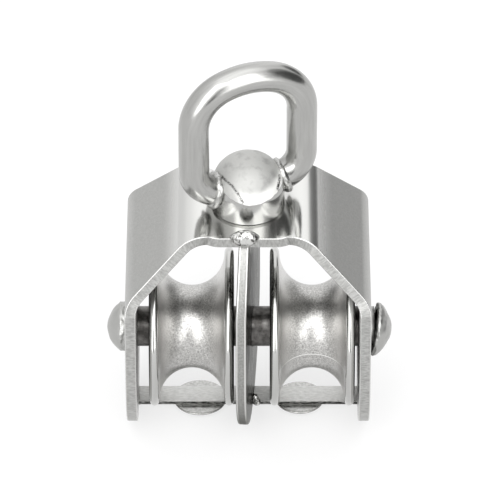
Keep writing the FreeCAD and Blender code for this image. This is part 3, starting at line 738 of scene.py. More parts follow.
def end_tree(tree, geometry, material):
    """Makes instances real, gives the metal its finish and closes the tree."""
    real = add_node(tree, "GeometryNodeRealizeInstances", None, {"Geometry": geometry})
    smooth = add_node(tree, "GeometryNodeSetShadeSmooth", None, {"Geometry": real.outputs[0]})
    dressed = add_node(tree, "GeometryNodeSetMaterial", None,
                       {"Geometry": smooth.outputs[0], "Material": material})
    add_node(tree, "NodeGroupOutput", None, {0: dressed.outputs[0]})


def run_tree(name, tree, sizes, carrier=None):
    """Runs the tree on a carrier and returns the result as a plain mesh."""
    if carrier is None:
        carrier = object_from(name + "_carrier", [(0, 0, 0)], [], merge=False)
    grow = carrier.modifiers.new("grow", "NODES")
    grow.node_group = tree
    for socket in tree.interface.items_tree:
        if socket.in_out == "INPUT" and socket.name in sizes:
            grow[socket.identifier] = sizes[socket.name]
    graph = bpy.context.evaluated_depsgraph_get()
    mesh = bpy.data.meshes.new_from_object(carrier.evaluated_get(graph), depsgraph=graph)
    mesh.name = name
    bpy.data.objects.remove(carrier)
    return in_scene(name, mesh)


def path(name, points, closed=False, sizes=None):
    """A line through the points, hidden from the render, for a tree to follow."""
    curve = bpy.data.curves.new(name, "CURVE")
    curve.dimensions = "3D"
    line = curve.splines.new("POLY")
    line.points.add(len(points) - 1)
    for i, point in enumerate(points):
        line.points[i].co = (*point, 1.0)
        line.points[i].radius = sizes[i] if sizes else 1.0
    line.use_cyclic_u = closed
    made = in_scene(name, curve)
    made.hide_render = True
    return made


# %% [markdown]
# ## The roof: one sheet, bent
#
# The real roof is stamped flat, like a dumb-bell with two round ends, and
# then bent over a former. It is made here in the same order. The blank is
# cut first, with its holes. A node tree then reads, for every point of the
# blank, how far along the sheet it is, finds that place on the side view
# of the finished roof, and puts the point there, square to the bend. The
# grain and the cut marks are stored on the flat blank, so they bend too.

# %% The side view and the blank of the roof
CHEEK_RADIUS = 14.9
TOP_HALF = 8.7
CREST = (8.6, 25.7)
SHOULDER = 15.3
DIP_BEND = 3.0
OUTER_BEND = DIP_BEND + SHEET
corners = [(0.0, SEAT), (4.9, SEAT), CREST, (OUTSIDE, SHOULDER), (OUTSIDE, -CHEEK_RADIUS)]
half_view = rounded([(x * MM, z * MM) for x, z in corners],
                    [DIP_BEND * MM, OUTER_BEND * MM, OUTER_BEND * MM])
side_view = [(-x, z) for x, z in reversed(half_view)] + half_view[1:]
run = [0.0]
for a, b in zip(half_view, half_view[1:]):
    run.append(run[-1] + math.dist(a, b))
half_length = run[-1]
crest_start = next(s for s, (x, z) in zip(run, half_view) if x > 5.6 * MM)
shoulder_end = next(s for s, (x, z) in zip(run, half_view) if x > (OUTSIDE - 0.0001) * MM)
axle_at = half_length - CHEEK_RADIUS * MM
bends = [s for s in run if 0 < s <= shoulder_end + 0.1 * MM]
quarter = [(crest_start, TOP_HALF * MM), (shoulder_end, CHEEK_RADIUS * MM)]
quarter += arc((axle_at, 0.0), CHEEK_RADIUS * MM, 90, 0)
outline = [(s, -y) for s, y in quarter[:-1]] + [quarter[-1]]
outline += [(s, y) for s, y in reversed(quarter[:-1])]
outline = ([(-s, -y) for s, y in reversed(quarter)] + outline
           + [(-s, y) for s, y in quarter[:-1]])
SHANK_HOLE = 3.08
AXLE_HOLE = 3.2
SHEET_ARRIS = 0.16
holes = [circle(0, 0, SHANK_HOLE * MM)]
holes += [circle(way * axle_at, 0, AXLE_HOLE * MM) for way in (1, -1)]
blank = cut_blank("roof_blank", outline, holes, SHEET * MM, SHEET_ARRIS * MM,
                  cuts=bends + [-s for s in bends] + [0.0])
print("the blank is", round(2 * half_length / MM, 1), "mm long")

# %% Bending it
tree, sizes_in = start_tree("bend_along_a_side_view",
                            {"Side view": "Object", "Half length": "Float"})
position = add_node(tree, "GeometryNodeInputPosition").outputs[0]
kept = add_node(tree, "GeometryNodeStoreNamedAttribute",
                {"data_type": "FLOAT_VECTOR", "domain": "POINT"},
                {"Geometry": sizes_in["Geometry"], "Name": "blank", "Value": position})
axes = add_node(tree, "ShaderNodeSeparateXYZ", None, {0: position}).outputs
line = add_node(tree, "GeometryNodeObjectInfo", {"transform_space": "ORIGINAL"},
                {"Object": sizes_in["Side view"]}).outputs["Geometry"]
distance = add_node(tree, "ShaderNodeMath", {"operation": "ADD"},
                    {0: axes["X"], 1: sizes_in["Half length"]}).outputs[0]
sample = add_node(tree, "GeometryNodeSampleCurve", {"mode": "LENGTH", "use_all_curves": False},
                  {"Curves": line, "Length": distance}).outputs
square = add_node(tree, "ShaderNodeVectorMath", {"operation": "CROSS_PRODUCT"},
                  {0: sample["Tangent"], 1: (0.0, 1.0, 0.0)}).outputs["Vector"]
square = add_node(tree, "ShaderNodeVectorMath", {"operation": "NORMALIZE"},
                  {0: square}).outputs["Vector"]
inward = add_node(tree, "ShaderNodeVectorMath", {"operation": "SCALE"},
                  {0: square, "Scale": axes["Z"]}).outputs["Vector"]
across = add_node(tree, "ShaderNodeCombineXYZ", None, {"Y": axes["Y"]}).outputs[0]
there = add_node(tree, "ShaderNodeVectorMath", {"operation": "ADD"},
                 {0: sample["Position"], 1: inward}).outputs["Vector"]
there = add_node(tree, "ShaderNodeVectorMath", {"operation": "ADD"},
                 {0: there, 1: across}).outputs["Vector"]
bent = add_node(tree, "GeometryNodeSetPosition", None,
                {"Geometry": kept.outputs[0], "Position": there}).outputs[0]
end_tree(tree, bent, sheet_steel)
view_line = path("roof_side_view", [(x, 0.0, z) for x, z in side_view])
roof = run_tree("roof", tree, {"Side view": view_line, "Half length": half_length}, blank)
bpy.data.objects.remove(view_line)
place(even_light(roof), "frame", "satin_sheet", "housing")

# %% [markdown]
# ## The middle plate
#
# The plate hangs between the wheels and is welded to the roof front and
# back. Its outline is drawn in the plane that it stands in, with the notch
# for the swivel's end, and it is turned a little about the upright axis,
# as the real one is.

# %% The middle plate
PLATE = 1.65
PLATE_ROUND = 15.5
PLATE_SHOULDER = 13.6
PLATE_TOP = SEAT - SHEET
NOTCH_HALF = 6.2
NOTCH_FLOOR = 19.3
PLATE_ARRIS = 0.3
half_top = [(TOP_HALF, PLATE_TOP), (NOTCH_HALF, PLATE_TOP), (NOTCH_HALF, NOTCH_FLOOR)]
top = half_top + [(-y, z) for y, z in reversed(half_top)]
outline = arc((0.0, 0.0), PLATE_ROUND * MM, 180, 360)
outline += [(y * MM, z * MM) for y, z in
            [(PLATE_ROUND, PLATE_SHOULDER), *top, (-PLATE_ROUND, PLATE_SHOULDER)]]
plate = cut_blank("middle_plate", outline, [circle(0, 0, AXLE_HOLE * MM)], PLATE * MM,
                  PLATE_ARRIS * MM)
stand = Matrix(((0, 0, 1, PLATE * MM / 2), (1, 0, 0, 0), (0, 1, 0, 0), (0, 0, 0, 1)))
plate.data.transform(Matrix.Rotation(PLATE_TURN, 4, "Z") @ stand)
plate.data.materials.append(plate_steel)
place(even_light(plate), "frame", "polished_plate", "centre_plate")

# %% [markdown]
# ## The ring: a bar swept along its line
#
# The eye is one bar, bent cold, with its two ends welded to the swivel's
# head. It is the plain case of a shape that follows a path: a circle
# swept along the bar's middle line. The tree also stores how far along
# the bar each point is, and where on the section, for the drawing lines.

# %% The ring's middle line
BAR_RADIUS = 2.37 * MM
# Three arcs: the corner by the head, the shoulder and the top, which share a tangent at the joins.
CORNER_CENTRE, CORNER_RADIUS = (4.3, 32.7), 4.5
SHOULDER_CENTRE, SHOULDER_RADIUS = (1.6, 40.7755), 7.2
TOP_CENTRE, TOP_RADIUS = (0.0, 36.25), 12.0
BAR_END = (3.0, 28.2)
join = math.degrees(math.atan2(6.7885, 2.4))
half = [(BAR_END[0] * MM, BAR_END[1] * MM)]
for centre, radius, start, end in ((CORNER_CENTRE, CORNER_RADIUS, -90, 0),
                                   (SHOULDER_CENTRE, SHOULDER_RADIUS, 0, join),
                                   (TOP_CENTRE, TOP_RADIUS, join, 90)):
    points = arc((centre[0] * MM, centre[1] * MM), radius * MM, start, end)
    half += points[1:] if centre is TOP_CENTRE else points
whole = [(-x, z) for x, z in half[:-1]] + list(reversed(half))
turn = Matrix.Rotation(EYE_TURN, 4, "Z")
middle_line = path("ring_middle_line", [turn @ Vector((x, 0.0, z)) for x, z in whole])
print("points on the ring's middle line:", len(whole))

# %% Sweeping the bar
tree, sizes_in = start_tree("bar_along_a_line",
                            {"Middle line": "Object", "Bar radius": "Float", "Step": "Float"})
line = add_node(tree, "GeometryNodeObjectInfo", {"transform_space": "ORIGINAL"},
                {"Object": sizes_in["Middle line"]}).outputs["Geometry"]
even = add_node(tree, "GeometryNodeResampleCurve", {"mode": "LENGTH"},
                {"Curve": line, "Length": sizes_in["Step"]}).outputs[0]
so_far = add_node(tree, "GeometryNodeSplineParameter").outputs["Length"]
marked = add_node(tree, "GeometryNodeStoreNamedAttribute",
                  {"data_type": "FLOAT", "domain": "POINT"},
                  {"Geometry": even, "Name": "along_bar", "Value": so_far}).outputs[0]
ring_section = add_node(tree, "GeometryNodeCurvePrimitiveCircle", {"mode": "RADIUS"},
                        {"Resolution": 48, "Radius": sizes_in["Bar radius"]}).outputs[0]
position = add_node(tree, "GeometryNodeInputPosition").outputs[0]
section = add_node(tree, "GeometryNodeStoreNamedAttribute",
                   {"data_type": "FLOAT_VECTOR", "domain": "POINT"},
                   {"Geometry": ring_section, "Name": "on_section", "Value": position}).outputs[0]
swept = add_node(tree, "GeometryNodeCurveToMesh", None,
                 {"Curve": marked, "Profile Curve": section, "Fill Caps": True}).outputs[0]
end_tree(tree, swept, bar_steel)
sweep_tree = tree
ring = run_tree("eye_ring_bar", sweep_tree,
                {"Middle line": middle_line, "Bar radius": BAR_RADIUS, "Step": 0.5 * MM})
bpy.data.objects.remove(middle_line)
place(ring, "eye", "polished_bar", "eye_ring")

# %% [markdown]
# ## Turned pieces
#
# The swivel pin, the rivet, the wheels and the buttons were all turned or
# pressed round, so one function spins a side view about an axis. A second
# one moves the points of a finished piece along their own normals by a
# smooth noise. That gives hammered and ground metal its real dents, which
# a flat pattern can't, because the outline of the piece changes too.

# %% Spinning a side view
def spun(name, view, steps, axis="Z", closed=False):
    """Turns pairs of (along the axis, radius) about X or Z."""
    points, rows = [], []
    for along, radius in view:
        count = 1 if radius < 1e-7 else steps
        rows.append(range(len(points), len(points) + count))
        for i in range(count):
            a = 2 * math.pi * i / steps
            side = (radius * math.cos(a), radius * math.sin(a))
            points.append((*side, along) if axis == "Z" else (along, *side))
    faces = []
    for first, second in zip(rows, rows[1:] + rows[:1] if closed else rows[1:]):
        for i in range(steps):
            j = (i + 1) % steps
            corners = [first[i % len(first)], first[j % len(first)],
                       second[j % len(second)], second[i % len(second)]]
            faces.append(list(dict.fromkeys(corners)))
    return object_from(name, points, faces)


def filled(view, step):
    """The same side view with points put in where they are further apart than the step."""
    full = [view[0]]
    for a, b in zip(view, view[1:]):
        count = max(1, math.ceil(math.dist(a, b) / step))
        full += [(a[0] + (b[0] - a[0]) * i / count, a[1] + (b[1] - a[1]) * i / count)
                 for i in range(1, count + 1)]
    return full


def dented(piece, size, depth, where=lambda p: 1.0, seed=0.0):
    """Moves each point along its normal by a smooth noise of that size and depth."""
    shift = Vector((seed, 3.7 * seed, -1.9 * seed))
    normals = [n.vector.copy() for n in piece.data.vertex_normals]
    for vertex, normal in zip(piece.data.vertices, normals):
        vertex.co += normal * depth * where(vertex.co) * noise.noise(vertex.co / size + shift)
    piece.data.update()
    return piece


# %% [markdown]
# ## The swivel pin
#
# A headed pin goes down through the roof and is peened over a washer. Its
# head is the round boss that carries the ring. The wall of the head has a
# small bright chamfer where it meets the roof, and the dome above is
# ground by hand, so it gets soft dents. A crack and a pit were left at the
# dome's edge: each is a short line, and points near it are pushed in.

# %% The swivel pin
SHANK = 3.0
HEAD = 5.65
HEAD_FOOT = 24.14
HEAD_CHAMFER = 0.3
WALL_TOP = 28.2
DOME_CENTRE, DOME_RADIUS = 27.676, 5.674
PEENED_START, PEENED_RISE, PEENED_RADIUS = 20.7, 0.9, 4.0
DENTS_START = 28.6
side = rounded([(HEAD_FOOT, SHANK), (HEAD_FOOT, HEAD - HEAD_CHAMFER),
                (HEAD_FOOT + HEAD_CHAMFER, HEAD), (WALL_TOP, HEAD)], [0.08, 0.08])[1:-1]
rise = math.degrees(math.atan2(WALL_TOP - DOME_CENTRE, HEAD))
cap = [(DOME_CENTRE + DOME_RADIUS * math.sin(math.radians(a)),
        DOME_RADIUS * math.cos(math.radians(a)))
       for a in (rise + (90 - rise) * i / 44 for i in range(45))]
low_cap = [(PEENED_START - PEENED_RISE * math.sin(a), PEENED_RADIUS * math.cos(a))
           for a in (math.pi / 2 * i / 12 for i in range(12, -1, -1))]
peened_rim = [(20.75, 4.18), (20.9, 4.3), (21.15, 4.3), (21.28, 4.2), (21.3, 4.05), (21.3, SHANK)]
view = low_cap + peened_rim + [(HEAD_FOOT, SHANK)] + side + cap
view[-1] = (view[-1][0], 0.0)
view[0] = (view[0][0], 0.0)
pin = spun("swivel_boss", filled([(a * MM, r * MM) for a, r in view], 0.2 * MM), 192)
for size, depth, fade, seed in ((2.6, 0.07, 1.5, 4.0), (0.8, 0.02, 1.0, 9.0)):
    dented(pin, size * MM, depth * MM,
           lambda p: min(1.0, max(0.0, (p.z / MM - DENTS_START) / fade)), seed)
print("the swivel pin has", len(pin.data.vertices), "points")

# %% The crack at the edge of the ground dome
CRACK = [(-4.14, -1.88, 31.08), (-3.3, -3.1, 31.0), (-2.45, -4.05, 30.82), (-1.5, -4.95, 29.9),
         (-0.76, -5.53, 28.66)]
PIT = [(4.92, -0.95, 30.35), (4.75, -2.0, 29.9), (4.61, -2.8, 29.45)]


def gap_to(point, line):
    """The distance from a point to a line of short runs."""
    gaps = []
    for a, b in zip(line, line[1:]):
        share = (point - a).dot(b - a) / (b - a).length_squared
        gaps.append((point - a - (b - a) * max(0.0, min(1.0, share))).length)
    return min(gaps)


marks = [([Vector(p) * MM for p in line], wide * MM)
         for line, wide in ((CRACK, 0.2), (PIT, 0.42))]
depths = [max(max(0.0, 1 - gap_to(v.co, line) / wide) if v.co.z > 28 * MM else 0.0
              for line, wide in marks) for v in pin.data.vertices]
pin.data.attributes.new("crack", "FLOAT", "POINT").data.foreach_set(
    "value", [min(1.0, 2.0 * d) for d in depths])
CRACK_DEPTH = 0.18 * MM
normals = [n.vector.copy() for n in pin.data.vertex_normals]
for vertex, normal, deep in zip(pin.data.vertices, normals, depths):
    vertex.co -= normal * deep * CRACK_DEPTH
print("points in the crack:", sum(d > 0 for d in depths))
pin.data.materials.append(pin_steel)
place(pin, "eye", "turned_pin", "swivel_pin")

# %% [markdown]
# ## The two wheels
#
# Each wheel is a short drum with a round groove for a 10 mm rope. The
# groove's arc runs out into a small round lip at each side, with no sharp
# edge that could cut the rope. Both wheels are the same side view. Only
# the right one shows the mould's parting line, a little proud in the groove.

# %% The two wheels
WHEEL_RADIUS = 12.5
WHEEL_HALF = 6.602
WHEEL_PLACES = (("left", -8.818), ("right", 10.028))
LIP = 0.74
GROOVE = WHEEL_HALF - 2 * LIP
GROOVE_FLOOR = 6.498
LIP_CENTRE = WHEEL_RADIUS - LIP
GROOVE_CENTRE = GROOVE_FLOOR + GROOVE
BORE = 3.2
BORE_CHAMFER = 0.4
PARTING_HALF = 1.3
PARTING_END = 11.6
PARTING_PROUD = 0.07
groove = [(GROOVE * math.cos(math.radians(a)), GROOVE_CENTRE - GROOVE * math.sin(math.radians(a)))
          for a in range(0, 181, 5)]
right_lip = [(WHEEL_HALF - LIP + LIP * math.cos(math.radians(a)),
              LIP_CENTRE + LIP * math.sin(math.radians(a))) for a in range(0, 181, 15)]
left_lip = [(-x, r) for x, r in reversed(right_lip)]
bore = [(-WHEEL_HALF, BORE + BORE_CHAMFER), (-WHEEL_HALF + BORE_CHAMFER, BORE),
        (WHEEL_HALF - BORE_CHAMFER, BORE), (WHEEL_HALF, BORE + BORE_CHAMFER)]
wheel_view = bore + right_lip + groove + left_lip
for side_name, centre in WHEEL_PLACES:
    view = [((x + centre) * MM, r * MM) for x, r in wheel_view]
    wheel = spun("wheel_" + side_name, filled(view + view[:1], 0.6 * MM)[:-1], 144, "X", True)
    if side_name == "right":
        for vertex in wheel.data.vertices:
            out = Vector((0.0, vertex.co.y, vertex.co.z))
            off = abs(math.degrees(math.atan2(-vertex.co.z, -vertex.co.y)) - PARTING)
            sideways = abs(vertex.co.x - centre * MM)
            if off < PARTING_HALF and out.length < PARTING_END * MM and sideways < GROOVE * MM:
                vertex.co += out.normalized() * PARTING_PROUD * MM
    wheel.data.materials.append(wheel_steel)
    place(wheel, "sheave_" + side_name, "cast_wheel", "sheave_" + side_name)

# %% [markdown]
# ## The axle rivet
#
# One rivet holds everything. Its left head was formed in the factory and
# is round and low. Its right end was hammered over by hand, so it leans,
# and its face and rim are uneven. The heads are separate side views that
# meet the same shaft.

# %% The rivet's two heads
SHAFT = 3.15
RIGHT_FOOT = 19.8
RIGHT_DROP = 0.6
RIGHT_TILT = math.radians(9.5)


def head_view(radius, rim, dome):
    """From the shaft outwards: the underside, the rim with its edge and the dome."""
    centre = (radius * radius - dome * dome) / (2 * dome)
    ball = centre + dome
    start = math.degrees(math.atan2(centre, radius))
    cap = [(rim - centre + ball * math.sin(math.radians(a)), ball * math.cos(math.radians(a)))
           for a in (start + (90 - start) * i / 30 for i in range(1, 31))]
    cap[-1] = (cap[-1][0], 0.0)
    underside = [(0.0, SHAFT), (0.0, radius - 0.15), (0.05, radius - 0.04), (0.15, radius)]
    return underside + [(rim, radius)] + cap


shaft_view = [(-OUTSIDE, 0.0), (-OUTSIDE, SHAFT), (RIGHT_FOOT, SHAFT), (RIGHT_FOOT, 0.0)]
shaft = spun("axle_shaft", filled([(a * MM, r * MM) for a, r in shaft_view], 0.8 * MM), 96, "X")
left_view = head_view(radius=3.85, rim=1.05, dome=2.05)
left = spun("axle_left", filled([(-(OUTSIDE + a) * MM, r * MM) for a, r in left_view],
                                0.18 * MM), 96, "X")
dented(left, 1.6 * MM, 0.1 * MM, lambda p: 1.0, 2.0)
dented(left, 0.5 * MM, 0.14 * MM, lambda p: 1.0 if p.x > -20.2 * MM else 0.0, 6.0)
right_view = head_view(radius=4.1, rim=0.5, dome=2.2)
right = spun("axle_right", filled([(a * MM, r * MM) for a, r in right_view],
                                  0.16 * MM), 96, "X")
dented(right, 1.9 * MM, 0.22 * MM, lambda p: min(1.0, p.x / (0.5 * MM) + 0.5), 5.0)
dented(right, 0.7 * MM, 0.06 * MM, lambda p: min(1.0, p.x / (0.5 * MM) + 0.5), 8.0)
dented(right, 0.45 * MM, 0.2 * MM, lambda p: 1.0 if p.x < 0.55 * MM else 0.0, 3.0)
right.data.transform(Matrix.Translation((RIGHT_FOOT * MM, 0.0, -RIGHT_DROP * MM))
                     @ Matrix.Rotation(RIGHT_TILT, 4, "Y"))
print("heads:", len(left.data.vertices), "and", len(right.data.vertices), "points")

# %% Joining the heads to the shaft
def joined(name, parts):
    """Several objects as one mesh."""
    work = bmesh.new()
    for part in parts:
        work.from_mesh(part.data)
        bpy.data.objects.remove(part)
    mesh = bpy.data.meshes.new(name)
    work.to_mesh(mesh)
    work.free()
    mesh.shade_smooth()
    return in_scene(name, mesh)


rivet = joined("axle_rivet_hammered", [shaft, left, right])
rivet.data.materials.append(rivet_steel)
place(rivet, "frame", "rivet_steel", "axle_rivet")

# %% [markdown]
# ## Guard strips and buttons
#
# Under each wheel a flat strip keeps the rope from falling out. It is
# welded between the cheek and the plate, and a low round button is fixed
# under its middle. The strip is a small blank like the others, slanted at
# its inner end because the plate is turned, and the button is spun.

# %% Guard strips and buttons
STRIP_HALF = 1.9
STRIP_START = 0.86
STRIP_THICK = GUARD_TOP - GUARD_UNDER
STRIP_ARRIS = 0.1
BUTTON_RIM = -14.75
BUTTON_DOME = 0.5
# The two buttons were pressed to slightly different sizes: place along X and radius.
BUTTONS = {"left": (7.6, 4.25), "right": (8.2, 3.9)}
for side_name, way in (("left", -1), ("right", 1)):
    lean = way * math.tan(PLATE_TURN) * STRIP_HALF
    outline = [(STRIP_START + lean, -STRIP_HALF), (INSIDE, -STRIP_HALF),
               (INSIDE, STRIP_HALF), (STRIP_START - lean, STRIP_HALF)]
    outline = [(way * x * MM, y * MM) for x, y in outline]
    strip = cut_blank("guard_strip_" + side_name, outline if way > 0 else outline[::-1], [],
                      STRIP_THICK * MM, STRIP_ARRIS * MM)
    strip.data.transform(Matrix.Translation((0.0, 0.0, GUARD_TOP * MM)))
    strip.data.materials.append(strip_steel)
    place(even_light(strip), "frame", "cut_strip", "guard_bar_" + side_name)
    far, wide = BUTTONS[side_name]
    low = [(BUTTON_RIM - BUTTON_DOME * (1 - (i / 24) ** 2), (wide - 0.1) * i / 24)
           for i in range(25)]
    view = low + [(-14.72, wide - 0.03), (-14.65, wide), (-14.52, wide), (-14.46, wide - 0.05),
                  (GUARD_UNDER, wide - 0.12), (GUARD_UNDER, 0.0)]
    button = spun("guard_button_pressed_" + side_name,
                  filled([(a * MM, r * MM) for a, r in view], 0.35 * MM), 96)
    button.data.transform(Matrix.Translation((way * far * MM, 0.0, 0.0)))
    button.data.materials.append(button_steel)
    place(button, "frame", "cut_strip", "guard_button_" + side_name)

# %% [markdown]
# ## Weld beads
#
# A weld is a row of small pools that froze one after the other, each over
# the edge of the one before. That is the rule of this tree: it walks along
# a line in even steps, puts a flattened ball at each, varies its size a
# little by a fixed seed, and merges them into one skin. The line's own
# radius makes the bead thinner at its ends. The plate's beads take very
# short steps, so that their pools run together to one smooth drop. The
# ring's beads were ground afterwards, so they are made another way: a
# closed hoop swept with the ring's own tree, then dented.

# %% A tree of frozen pools
tree, sizes_in = start_tree("pools_along_a_line", {
    "Weld line": "Object", "Pool size": "Vector", "Step": "Float", "Unevenness": "Float",
    "Wrinkle size": "Float", "Wrinkle depth": "Float", "Seed": "Int"})
line = add_node(tree, "GeometryNodeObjectInfo", {"transform_space": "ORIGINAL"},
                {"Object": sizes_in["Weld line"]}).outputs["Geometry"]
stations = add_node(tree, "GeometryNodeCurveToPoints", {"mode": "LENGTH"},
                    {"Curve": line, "Length": sizes_in["Step"]}).outputs
ball = add_node(tree, "GeometryNodeMeshIcoSphere", None,
                {"Radius": 1.0, "Subdivisions": 4}).outputs["Mesh"]
less = add_node(tree, "ShaderNodeMath", {"operation": "SUBTRACT"},
                {0: 1.0, 1: sizes_in["Unevenness"]}).outputs[0]
more = add_node(tree, "ShaderNodeMath", {"operation": "ADD"},
                {0: 1.0, 1: sizes_in["Unevenness"]}).outputs[0]
chance = add_node(tree, "FunctionNodeRandomValue", {"data_type": "FLOAT"},
                  {2: less, 3: more, "Seed": sizes_in["Seed"]}).outputs[1]
thin = add_node(tree, "GeometryNodeInputRadius").outputs[0]
share = add_node(tree, "ShaderNodeMath", {"operation": "MULTIPLY"}, {0: chance, 1: thin}).outputs[0]
pool = add_node(tree, "ShaderNodeVectorMath", {"operation": "SCALE"},
                {0: sizes_in["Pool size"], "Scale": share}).outputs["Vector"]
row = add_node(tree, "GeometryNodeInstanceOnPoints", None,
               {"Points": stations["Points"], "Instance": ball, "Scale": pool,
                "Rotation": stations["Rotation"]}).outputs[0]
real = add_node(tree, "GeometryNodeRealizeInstances", None, {"Geometry": row}).outputs[0]
skin = add_node(tree, "GeometryNodeMeshBoolean", {"operation": "UNION", "solver": "EXACT"},
                {"Mesh 2": real, "Self Intersection": True}).outputs[0]
position = add_node(tree, "GeometryNodeInputPosition").outputs[0]
normal = add_node(tree, "GeometryNodeInputNormal").outputs[0]
spacing = add_node(tree, "ShaderNodeMath", {"operation": "DIVIDE"},
                   {0: 1.0, 1: sizes_in["Wrinkle size"]}).outputs[0]
wave = add_node(tree, "ShaderNodeTexNoise", {"noise_dimensions": "4D"},
                {"Vector": position, "Scale": spacing, "Detail": 2.0,
                 "W": sizes_in["Seed"]}).outputs[0]
wave = add_node(tree, "ShaderNodeMath", {"operation": "SUBTRACT"}, {0: wave, 1: 0.5}).outputs[0]
lift = add_node(tree, "ShaderNodeMath", {"operation": "MULTIPLY"},
                {0: wave, 1: sizes_in["Wrinkle depth"]}).outputs[0]
push = add_node(tree, "ShaderNodeVectorMath", {"operation": "SCALE"},
                {0: normal, "Scale": lift}).outputs["Vector"]
frozen = add_node(tree, "GeometryNodeSetPosition", None,
                  {"Geometry": skin, "Offset": push}).outputs[0]
end_tree(tree, frozen, weld_steel)
pool_tree = tree
print("tree:", pool_tree.name)


# %% One bead
def weld(name, body, node, points, sizes, pool, step, seed, uneven=0.08, wrinkle=(0.7, 0.12)):
    """One bead along the points, in mm, in place of a node."""
    line = path(name + "_line", [Vector(p) * MM for p in points], False, sizes)
    made = run_tree(name, pool_tree, {
        "Weld line": line, "Pool size": tuple(v * MM for v in pool), "Step": step * MM,
        "Unevenness": uneven, "Wrinkle size": wrinkle[0] * MM, "Wrinkle depth": wrinkle[1] * MM,
        "Seed": seed})
    bpy.data.objects.remove(line)
    place(made, body, "weld_metal", node)
    return made


# %% The beads between plate and roof
PLATE_WELD_AT = 8.55
for side_name, way, seed in (("front", -1, 3), ("rear", 1, 5)):
    line = [(-2.45, 0.2, SEAT - 0.1), (-1.8, 0.05, SEAT), (-1.2, 0.0, SEAT), (-0.5, 0.0, SEAT),
            (0.1, 0.0, SEAT), (0.8, 0.05, SEAT), (1.4, 0.2, SEAT - 0.1)]
    points = [(-way * x, way * (PLATE_WELD_AT - y), z) for x, y, z in line]
    weld("weld_plate_" + side_name, "frame", "plate_weld_" + side_name, points,
         [0.4, 0.72, 0.95, 1.0, 0.95, 0.72, 0.4], (1.1, 1.4, 0.85), 0.16, seed,
         uneven=0.012, wrinkle=(0.6, 0.2))

# %% The beads round the ends of the ring
HOOP_SLOPE = math.radians(17.15)
HOOP_RADIUS = 2.3
ROUND = [2 * math.pi * i / 40 for i in range(40)]
for side_name, way, seed in (("left", -1, 11), ("right", 1, 14)):
    centre = Vector((way * 5.627, 0.0, 28.40))
    up = Vector((-way * math.sin(HOOP_SLOPE), 0.0, math.cos(HOOP_SLOPE)))
    hoop = [centre + HOOP_RADIUS * (math.cos(a) * up + math.sin(a) * Vector((0, 1, 0)))
            for a in ROUND]
    # Thick at the top, where the dome was ground together with it, and thin below.
    sizes = [1.12 + 0.55 * math.cos(a) for a in ROUND]
    line = path("ring_weld_line", [(turn @ p) * MM for p in hoop], True, sizes)
    bead = run_tree("weld_ring_" + side_name, sweep_tree,
                    {"Middle line": line, "Bar radius": 0.58 * MM, "Step": 0.14 * MM})
    bpy.data.objects.remove(line)
    dented(bead, 0.9 * MM, 0.16 * MM, seed=seed)
    dented(bead, 0.4 * MM, 0.07 * MM, seed=seed + 1)
    bead.data.materials.clear()
    bead.data.materials.append(ground_weld_steel)
    place(bead, "eye", "weld_metal", "ring_weld_" + side_name)

# %% The beads at the ends of the guard strips
for side_name, way, seed in (("left", -1, 21), ("right", 1, 24)):
    for end_name, x in (("outer", INSIDE), ("inner", 0.9)):
        points = [(way * x, y, GUARD_UNDER) for y in (-1.0, 0.0, 1.0)]
        if end_name == "inner":
            # Here the bead also climbs over the strip's front edge, up the plate.
            points = [(way * (x + 0.25), 1.0, -14.4), (way * (x + 0.15), 0.0, -14.4),
                      (way * (x + 0.2), -1.2, -14.35), (way * (x + 0.6), -1.9, -14.0),
                      (way * (x + 0.5), -1.9, -13.4), (way * (x + 0.2), -1.7, -12.9)]
        weld(f"weld_guard_{side_name}_{end_name}", "frame", f"guard_weld_{side_name}_{end_name}",
             points, [0.8] * len(points), (0.62, 0.75, 0.7), 0.5, seed, wrinkle=(0.5, 0.16))
        seed += 1

# %% [markdown]
# ## The washer
#
# The washer under the roof is a plain turned disc and its shape in the
# engineering model is right, so the model's own mesh stays and only gets
# the turned finish.

# %% The washer keeps its mesh
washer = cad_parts["swivel_washer"]
washer.data.materials.clear()
washer.data.materials.append(pin_steel)
print("washer:", len(washer.data.polygons), "faces")

# %% [markdown]
# ## Floor, light and camera
#
# The photograph was taken in a white tent. Polished metal shows its
# surroundings more than itself, so the surroundings are built with care.
# The floor is pale paper. Two tall soft boxes stand in front, left and
# right, with a darker gap for the camera between them. The tent gets
# brighter towards its top, and it is dark far to the right and low behind
# on the right. The gap draws the dark cores in the bright streaks, and
# the dark places draw the bands on the ring and on the roof's right bend.

# %% Floor and camera
FLOOR = -15.56 * MM
floor = object_from("floor", [(-3, -3, FLOOR), (3, -3, FLOOR), (3, 3, FLOOR), (-3, 3, FLOOR)],
                    [(0, 1, 2, 3)], merge=False)
paper, tree, surface = steel("pale_paper", "828282", 0.9)
surface.inputs["Metallic"].default_value = 0.0
surface.inputs["Emission Color"].default_value = (1, 1, 1, 1)
surface.inputs["Emission Strength"].default_value = 0.68
floor.data.materials.append(paper)

lens = bpy.data.cameras.new("view")
lens.lens, lens.sensor_width = 396.0, 36.0
lens.clip_start, lens.clip_end = 0.05, 20.0
camera = in_scene("view", lens)
LOOK_DOWN = math.radians(38.0)
FAR_BACK = 865
target = Vector((0.31, 7.36, 9.42)) * MM
back = Vector((0.0, -math.cos(LOOK_DOWN), math.sin(LOOK_DOWN)))
camera.location = target + back * FAR_BACK * MM
camera.rotation_euler = (-back).to_track_quat("-Z", "Y").to_euler()
bpy.context.scene.camera = camera
print("floor at", round(FLOOR / MM, 2), "mm, camera", FAR_BACK, "mm away")

